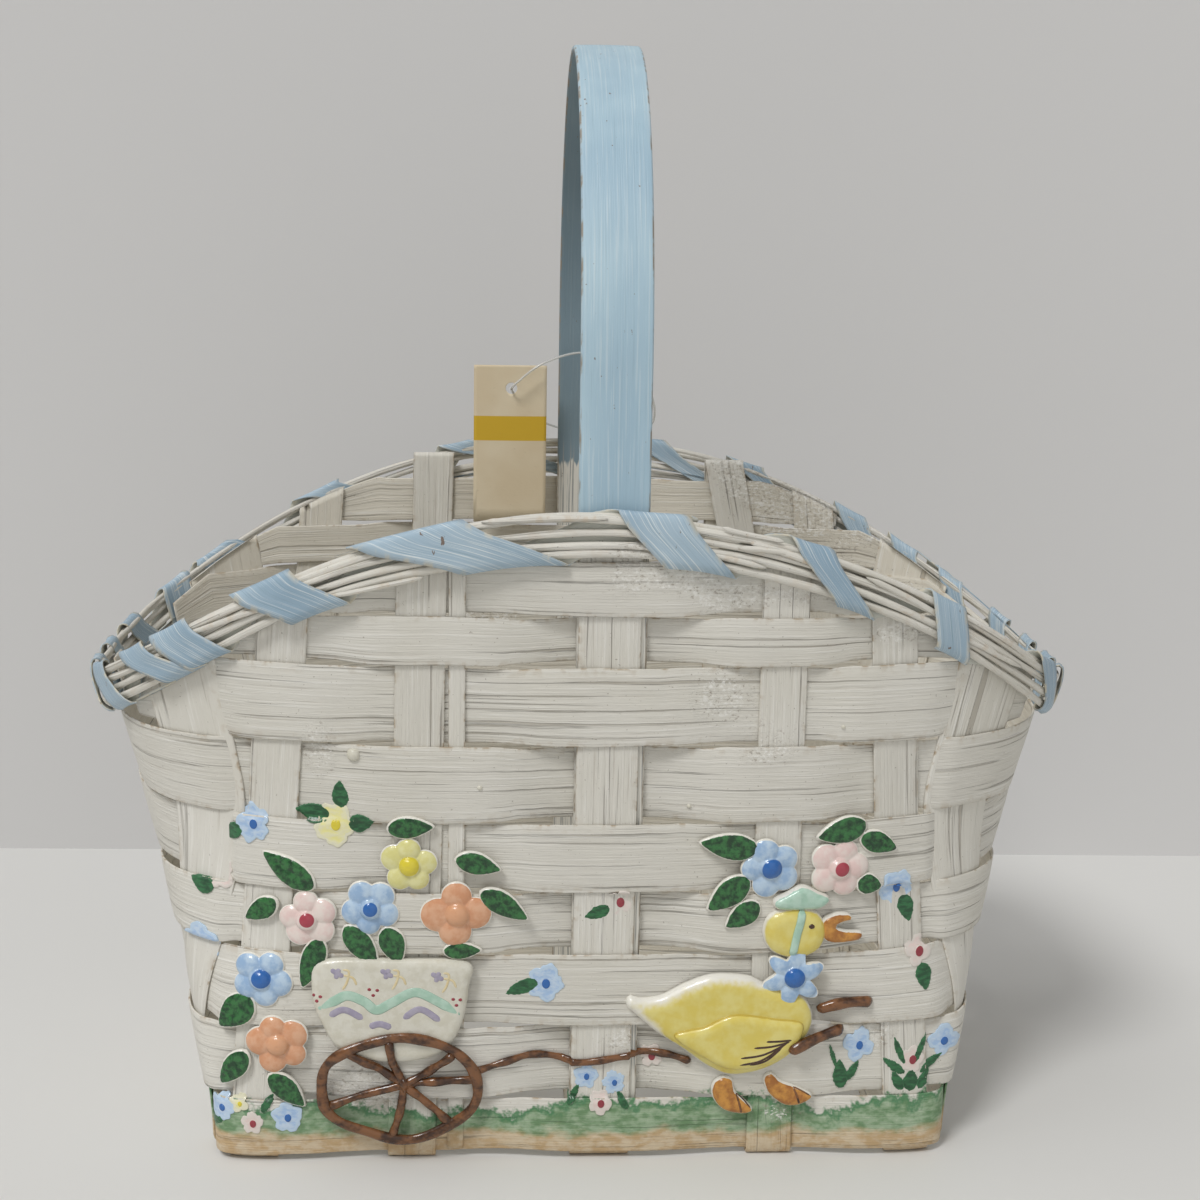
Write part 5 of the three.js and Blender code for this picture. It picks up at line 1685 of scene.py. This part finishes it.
class Duck:
    """The duckling in its bonnet: a cast figure in layers, painted."""

    body = (
        (14.8, 64), (16, 67.6), (20.5, 66.6), (28, 67.8), (37, 72.6), (47, 76), (59.5, 75.4), (66, 72.5),
        (74, 70), (82, 66), (85, 57), (80.5, 47), (69.8, 38.6), (56, 35.3), (46, 39), (36.2, 46.3),
        (26.1, 53.2), (18.6, 60)
    )
    wing = (
        (32.7, 52.6), (44, 56.3), (55, 61), (70, 59.4), (81, 57), (78, 47.2), (67.5, 40.6), (55, 38.6),
        (44.5, 43.3)
    )
    head = (
        (64.8, 92.8), (67.4, 99.8), (76.4, 102.4), (85, 100), (88.4, 92.8), (85.6, 85.4), (77.2, 82.4),
        (68.2, 85.4)
    )
    beak = (
        (87, 97), (92, 99.4), (96.8, 99), (98.4, 96.6), (94.8, 95.8), (92.2, 94.2), (96, 92.6),
        (102.2, 91.6), (100.6, 88.4), (91, 87.8), (87, 90.6)
    )
    bonnet = (
        (68.3, 105.4), (70, 101.9), (79.5, 101.4), (86, 101.9), (89.3, 105.6), (84.6, 108.4),
        (80.5, 110.6), (77.2, 110.6), (73, 108.2)
    )
    feet = (
        (
            "duck_foot_left",
            (
                (48.3, 31.5), (51.5, 34.3), (55.5, 33.4), (57.2, 28), (63.8, 21), (60, 18.9),
                (52.5, 20.8), (48.2, 26.2))),
        (
            "duck_foot_right",
            (
                (67.4, 33.5), (70.2, 36), (74, 32.6), (79, 30.4), (86.4, 26.4), (82, 22.6), (75.5, 22.6),
                (69.6, 27.4))),
    )

    def build(self, rng: np.random.Generator) -> None:
        """Builds the layers from the back forwards."""
        body = Plate(rounded_line(self.body, 1.1, True), 1.5, 6.2, shoulder=5.0, edge=0.3)

        def back_edge(p: Array) -> Array:
            """The white edge: wide along the back and tail, thin below."""
            return 0.6 + 2.2 * smooth((p[:, 1] - 0.28 * p[:, 0] - 42) / 8) * smooth((75 - p[:, 0]) / 20)

        dress(
            body.build("duck_body", border=back_edge), Paint.DUCK,
            stands_for=("duck_body",))
        for name, paint, slot, outline, front, shoulder in (
            ("duck_wing", Paint.WING, "duck_yellow_enamel", self.wing, 8.2, 3.0),
            ("duck_head", Paint.DUCK, "duck_yellow_enamel", self.head, 6.4, 4.5),
            ("duck_beak", Paint.ORANGE, "orange_enamel", self.beak, 5.2, 1.8),
            ("duck_bonnet", Paint.TEAL, "teal_enamel", self.bonnet, 6.4, 2.2),
        ):
            start = 5.0 if name == "duck_wing" else 1.5
            # the wing's narrow border takes its finish's darker yellow, a painted shade line along its edge
            plate = Plate(
                rounded_line(outline, 1.0, True), start, front, shoulder=shoulder, edge=0.3,
                border=0.45 if name == "duck_wing" else 0.6)
            dress(plate.build(name), paint, stands_for=(name,))
            if name == "duck_head":
                painted_stroke(
                    "bonnet_strap", [(78.9, 102.4), (78.0, 97), (77.0, 92.5), (76.2, 87.5), (75.6, 83.6)],
                    3.0, plate, Paint.TEAL, 0.8)
                painted_stroke(
                    "duck_eye", [(82.1, 94.6), (82.3, 95.6), (82.4, 96.6)], 2.3, plate, Paint.DARK, 0.6)
            if name == "duck_wing":
                for i, (x, z, dx, dz) in enumerate(
                    (
                        (77, 51.2, 10, 0.6), (76.4, 50.6, 14, 2.6), (75.4, 50, 18, 6.2),
                        (74.4, 49.4, 17, 8.4), (73.4, 48.4, 12, 7.4))
                ):
                    painted_stroke(
                        f"wing_feather_{i + 1}", [(x, z), (x - dx / 2, z - 0.75 * dz), (x - dx, z - dz)],
                        0.85, plate, Paint.DARK, 0.3)
        for name, outline in self.feet:
            plate = Plate(rounded_line(outline, 0.9, True), 1.5, 5.0, shoulder=2.2, edge=0.3, border=0.5)
            dress(plate.build(name), Paint.ORANGE, stands_for=(name,))
            for k in (0, 1):
                p = [
                    outline[3],
                    (
                        (outline[3][0] + outline[4 + k][0]) / 2 + 0.3,
                        (outline[3][1] + outline[4 + k][1]) / 2),
                    outline[4 + k]]
                line = [
                    (
                        a * 0.9 + plate.outline[:, 0].mean() * 0.1,
                        b * 0.9 + plate.outline[:, 1].mean() * 0.1)
                    for a, b in p]
                painted_stroke(f"{name}_toe_{k + 1}", line, 0.8, plate, Paint.BROWN, 0.3)
        for name, points in (
            ("twig_upper", [(86.6, 61.4), (96, 63.9), (107.4, 64.2)]),
            ("twig_lower", [(76, 46.4), (84, 50), (90, 52), (97, 54)])
        ):
            line = rounded_line(points, 0.7)
            s = np.linspace(0, 2, len(line))
            piece = ribbon_on_front(
                name, line, 4.4 + ripple(rng, s, (2, 7), 0.5),
                1.6 if name == "twig_upper" else np.linspace(6.5, 1.6, len(line)), 4.0, False, 12)
            dress(piece, Paint.BROWN, stands_for=(name,))
        collar = Flower(
            "duck_collar_flower", Paint.BLUE, "blue_enamel", 76.6, 75.4, 11.2, 6, 0.35, 4.0, 0.34, 0.18)
        collar.build(rng)


# ------------------------------------------------------------------ flat painting
class Painting:
    """Flowers and leaves brushed straight onto the splints."""

    # petal colour, x, z, radius, petals
    flowers = (
        (Paint.WASH_BLUE, -122.4, 131.6, 6.4, 5), (Paint.WASH_YELLOW, -92.5, 133.4, 7.6, 5),
        (Paint.WASH_PINK, -135.8, 110.2, 5.4, 4), (Paint.WASH_BLUE, -143, 81.9, 6.6, 5),
        (Paint.WASH_PINK, 11.6, 104.2, 5.0, 4), (Paint.WASH_BLUE, -15.5, 72.4, 6.8, 5),
        (Paint.WASH_BLUE, 115.7, 106.9, 6.2, 5), (Paint.WASH_PINK, 124.8, 81.7, 5.2, 4),
        (Paint.WASH_BLUE, -135.3, 21, 4.8, 5), (Paint.WASH_PINK, -124.4, 15.8, 4.0, 5),
        (Paint.WASH_BLUE, -111.5, 18.4, 5.6, 5), (Paint.WASH_BLUE, 0.4, 33.7, 4.6, 5),
        (Paint.WASH_BLUE, 11, 31.1, 4.4, 5), (Paint.WASH_PINK, 5.9, 23.3, 4.4, 5),
        (Paint.WASH_BLUE, 103.8, 45.4, 6.0, 4), (Paint.WASH_PINK, 124.6, 38.8, 4.8, 5),
        (Paint.WASH_BLUE, 137.2, 44.2, 5.6, 4), (Paint.WASH_PINK, 25.1, 40.5, 4.4, 4),
        (Paint.WASH_YELLOW, -129, 23.5, 3.4, 4),
    )
    # x, z, length, width, bearing
    leaves = (
        (-130.9, 127.4, 10, 6.4, 205), (-100.8, 137.3, 13, 7.2, 170), (-90.5, 144.8, 10.5, 6.6, 95),
        (-83, 134, 9.5, 7.6, 10), (-141.8, 105.5, 9, 7.4, 160), (-145.7, 76.6, 7.5, 5.4, 250),
        (3.6, 100.2, 10.5, 5.8, 205), (-24, 70.5, 13.5, 5.8, 205), (120.1, 98.3, 11.5, 7, -72),
        (127.3, 71.6, 11, 6.4, -78), (-138.6, 14.6, 8, 3.4, 200), (-118.6, 23.8, 8.4, 3.2, 60),
        (97.2, 33.8, 12, 6, 96), (94, 41.5, 10, 1.8, 108), (102, 35, 9, 3.4, 62),
        (117.6, 36.6, 11, 3.6, 142), (119.6, 42.6, 12, 2.8, 112), (127.8, 42.6, 13, 2.8, 68),
        (132.8, 36.4, 11, 3.4, 36), (124.6, 30.4, 9, 6.4, 88), (119.4, 30.4, 9, 4.2, 118),
        (130, 30.6, 9, 4.2, 62), (-4, 26.8, 9, 3, 62), (14.4, 24.2, 8, 3, 118),
    )

    # x, z and radius of the drops of white paint that ran or splashed
    drops = ((-85.6, 160.4, 2.4), (-40, 149, 0.9), (36.4, 141, 0.8), (92, 171, 0.7))
    inks = {Paint.WASH_BLUE: Paint.BLUE, Paint.WASH_PINK: Paint.CHERRY, Paint.WASH_YELLOW: Paint.LEMON}

    def build(self, rng: np.random.Generator) -> None:
        """Builds every flower with its eye, every leaf and tuft, and the drops of paint."""
        for i, flower in enumerate(self.flowers):
            self._flower(i + 1, *flower, rng)
        for i, (x, z, length, width, degrees) in enumerate(self.leaves):
            outline = leaf_outline(length, width, degrees, x, z)
            outline = outline + rng.uniform(-0.2, 0.2, outline.shape)
            leaf = Plate(outline, 0, 0.3, shoulder=0.6, edge=0.4, border=0.3, spacing=1.1, drape=True)
            dress(leaf.build(f"painted_leaf_{i + 1}"), Paint.WASH_LEAF)
        turn = turns(24)
        for i, (x, z, size) in enumerate(self.drops):
            outline = np.stack([x + size * np.cos(turn), z + size * np.sin(turn)], -1)
            drop = Plate(
                outline, 0, 0.75 * size, shoulder=size, edge=0.1, border=0.0, spacing=0.6, drape=True)
            dress(drop.build(f"paint_blob_{i + 1}"), Paint.WHITE)

    def _flower(
        self, number: int, paint: Paint, x: float, z: float, radius: float, petals: int,
        rng: np.random.Generator
    ) -> None:
        """Builds one flower's flat petals and the eye on them, a little taller than wide.

        Args:
            number: its place in the list.
            paint: the petals' finish.
            x: its middle along X.
            z: its middle's height.
            radius: its size.
            petals: how many petals it has.
            rng: source of its unevenness.
        """
        turn = turns(60)
        centres = rng.uniform(0, 6) + np.arange(petals) * 2 * math.pi / petals
        reach = flower_reach(turn, radius, centres, radius * rng.uniform(0.42, 0.52, petals))
        reach = reach * (1 + ripple(rng, turn, (5, 15), 0.06))
        outline = np.stack([x + reach * np.cos(turn), z + 1.12 * reach * np.sin(turn)], -1)
        flat = Plate(outline, 0, 0.22, shoulder=0.5, edge=0.4, border=1.2, drape=True)
        dress(flat.build(f"painted_flower_{number}"), paint)
        size = radius * (0.30 if paint is Paint.WASH_PINK else 0.22)
        spot = np.stack([x + 0.4 + size * np.cos(turn), z - 0.2 + 1.3 * size * np.sin(turn)], -1)[::2]
        eye = Plate(
            spot, 0, 0.5, shoulder=0.6, edge=0.6, border=0.01, spacing=0.8, drape=True
        ).build(f"painted_eye_{number}")
        ink = self.inks[paint]
        core = np.full(len(eye.data.vertices), 0.0 if ink is Paint.CHERRY else 1.0, np.float32)
        eye.data.attributes.new("core", "FLOAT", "POINT").data.foreach_set("value", core)
        dress(eye, ink)


# ------------------------------------------------------------------ the set
@dataclass(frozen=True)
class Studio:
    """A pale table against a pale wall, lit softly from above and the front left."""

    floor: str = "#DDDCD9"
    wall: str = "#D3D2D1"
    surroundings: str = "#B9B8B7"
    glow: float = 0.33
    floor_half: float = 9.0
    wall_behind: float = 0.2774
    wall_turn: float = 0.026
    wall_half: float = 2.2
    wall_top: float = 2.6
    # the camera: focal length, place in millimetres before its yaw, and angles in radians
    lens: float = 64.35
    station: tuple[float, float, float] = (8.26, -848.48, 371.66)
    pitch: float = 0.2018
    roll: float = 0.0172
    yaw: float = 0.0596

    def build(self) -> None:
        """Builds the floor, lights, surroundings and camera."""
        g = Graph(bpy.data.materials.new("pale painted board"))
        place = g.add("TexCoord", out="Object")
        colour = g.coats(self.floor, (g.noise(place, (3, 3, 3), 2), (0.3, 0.7, 0.0, 0.25), "#D6D5D2"))
        size = self.floor_half
        corners = [(-size, -size, 0), (size, -size, 0), (size, size, 0), (-size, size, 0)]
        self._board("floor", corners, g.finish(colour, 0.6, IOR=1.4))
        self._backdrop()
        self._lights()
        self._camera()

    @staticmethod
    def _board(
        name: str, corners: list[tuple[float, float, float]], material: bpy.types.Material
    ) -> bpy.types.Object:
        """Stages one flat board and gives it back."""
        mesh = bpy.data.meshes.new(name)
        mesh.from_pydata(corners, [], [(0, 1, 2, 3)])
        mesh.materials.append(material)
        board = bpy.data.objects.new(name, mesh)
        bpy.context.scene.collection.objects.link(board)
        return board

    def _backdrop(self) -> None:
        """Stands a pale board behind the basket; only its front shows, so other views pass through."""
        g = Graph(bpy.data.materials.new("pale wall board"))
        board = g.add("BsdfPrincipled", {"Base Color": self.wall, "Roughness": 0.7})
        behind = g.add("NewGeometry", out="Backfacing")
        clear = g.add("BsdfTransparent")
        g.add("OutputMaterial", {"Surface": g.add("MixShader", (behind, board, clear))})
        half, top, skew = self.wall_half, self.wall_top, self.wall_turn * self.wall_half
        near, far = self.wall_behind + skew, self.wall_behind - skew
        corners = [(-half, near, -0.01), (half, far, -0.01), (half, far, top), (-half, near, top)]
        wall = self._board("backdrop", corners, g.owner)
        wall.visible_shadow = False
        wall.visible_diffuse = False

    def _lights(self) -> None:
        """Broad suns from the front left and above, and an even surrounding glow."""
        for name, strength, softness, towards in (
            ("key", 1.45, 16, (0.38, 0.55, -0.85)),
            ("top", 0.55, 40, (0.5, 0.1, -0.9)),
            ("fill", 0.3, 60, (-0.35, 0.9, -0.3)),
        ):
            light = bpy.data.lights.new(name, "SUN")
            light.energy, light.angle = strength, math.radians(softness)
            lamp = bpy.data.objects.new(name, light)
            lamp.matrix_world = Vector(towards).to_track_quat("-Z", "Y").to_matrix().to_4x4()
            bpy.context.scene.collection.objects.link(lamp)
        g = Graph(bpy.data.worlds.new("surroundings"))
        seen = g.add("Background", {"Color": self.surroundings})
        glow = g.add("Background", {"Color": (1.0, 0.995, 0.985, 1.0), "Strength": self.glow})
        camera_ray = g.add("LightPath", out="Is Camera Ray")
        g.add("OutputWorld", {"Surface": g.add("MixShader", (camera_ray, glow, seen))})
        scene = bpy.context.scene
        scene.world = g.owner
        scene.view_settings.view_transform = "Standard"

    def _camera(self) -> None:
        """Places the camera in front, a little above the rim, looking down slightly."""
        data = bpy.data.cameras.new("camera")
        data.sensor_width, data.lens = 36.0, self.lens
        data.clip_start, data.clip_end = 0.01, 60.0
        data.dof.use_dof = False
        camera = bpy.data.objects.new("camera", data)
        aim = Matrix.Rotation(math.pi / 2 - self.pitch, 4, "X") @ Matrix.Rotation(self.roll, 4, "Z")
        place = Matrix.Translation(Vector(self.station) * MM)
        camera.matrix_world = Matrix.Rotation(-self.yaw, 4, "Z") @ place @ aim
        bpy.context.scene.collection.objects.link(camera)
        bpy.context.scene.camera = camera


def main() -> None:
    """Builds the basket and its set in order."""
    logging.basicConfig(level=logging.INFO, format="%(message)s")
    rng = np.random.default_rng(17)
    steps = (
        ("weavers", lambda: Weavers().build(rng)),
        ("stakes", lambda: Stakes().build(rng)),
        ("hoop", lambda: Hoop().build(rng)),
        ("rim", lambda: Rim().build(rng)),
        ("tag", lambda: Tag().build()),
        ("bouquets", lambda: Bouquets().build(rng)),
        ("cart", lambda: Cart().build(rng)),
        ("duck", lambda: Duck().build(rng)),
        ("painting", lambda: Painting().build(rng)),
        ("studio", lambda: Studio().build()),
    )
    for name, step in steps:
        before = set(bpy.data.objects)
        step()
        made = [o for o in bpy.data.objects if o not in before and o.type == "MESH"]
        triangles = sum(len(o.data.loops) - 2 * len(o.data.polygons) for o in made)
        LOG.info("%s: %d pieces, %d triangles", name, len(made), triangles)


if __name__ == "__main__":
    main()
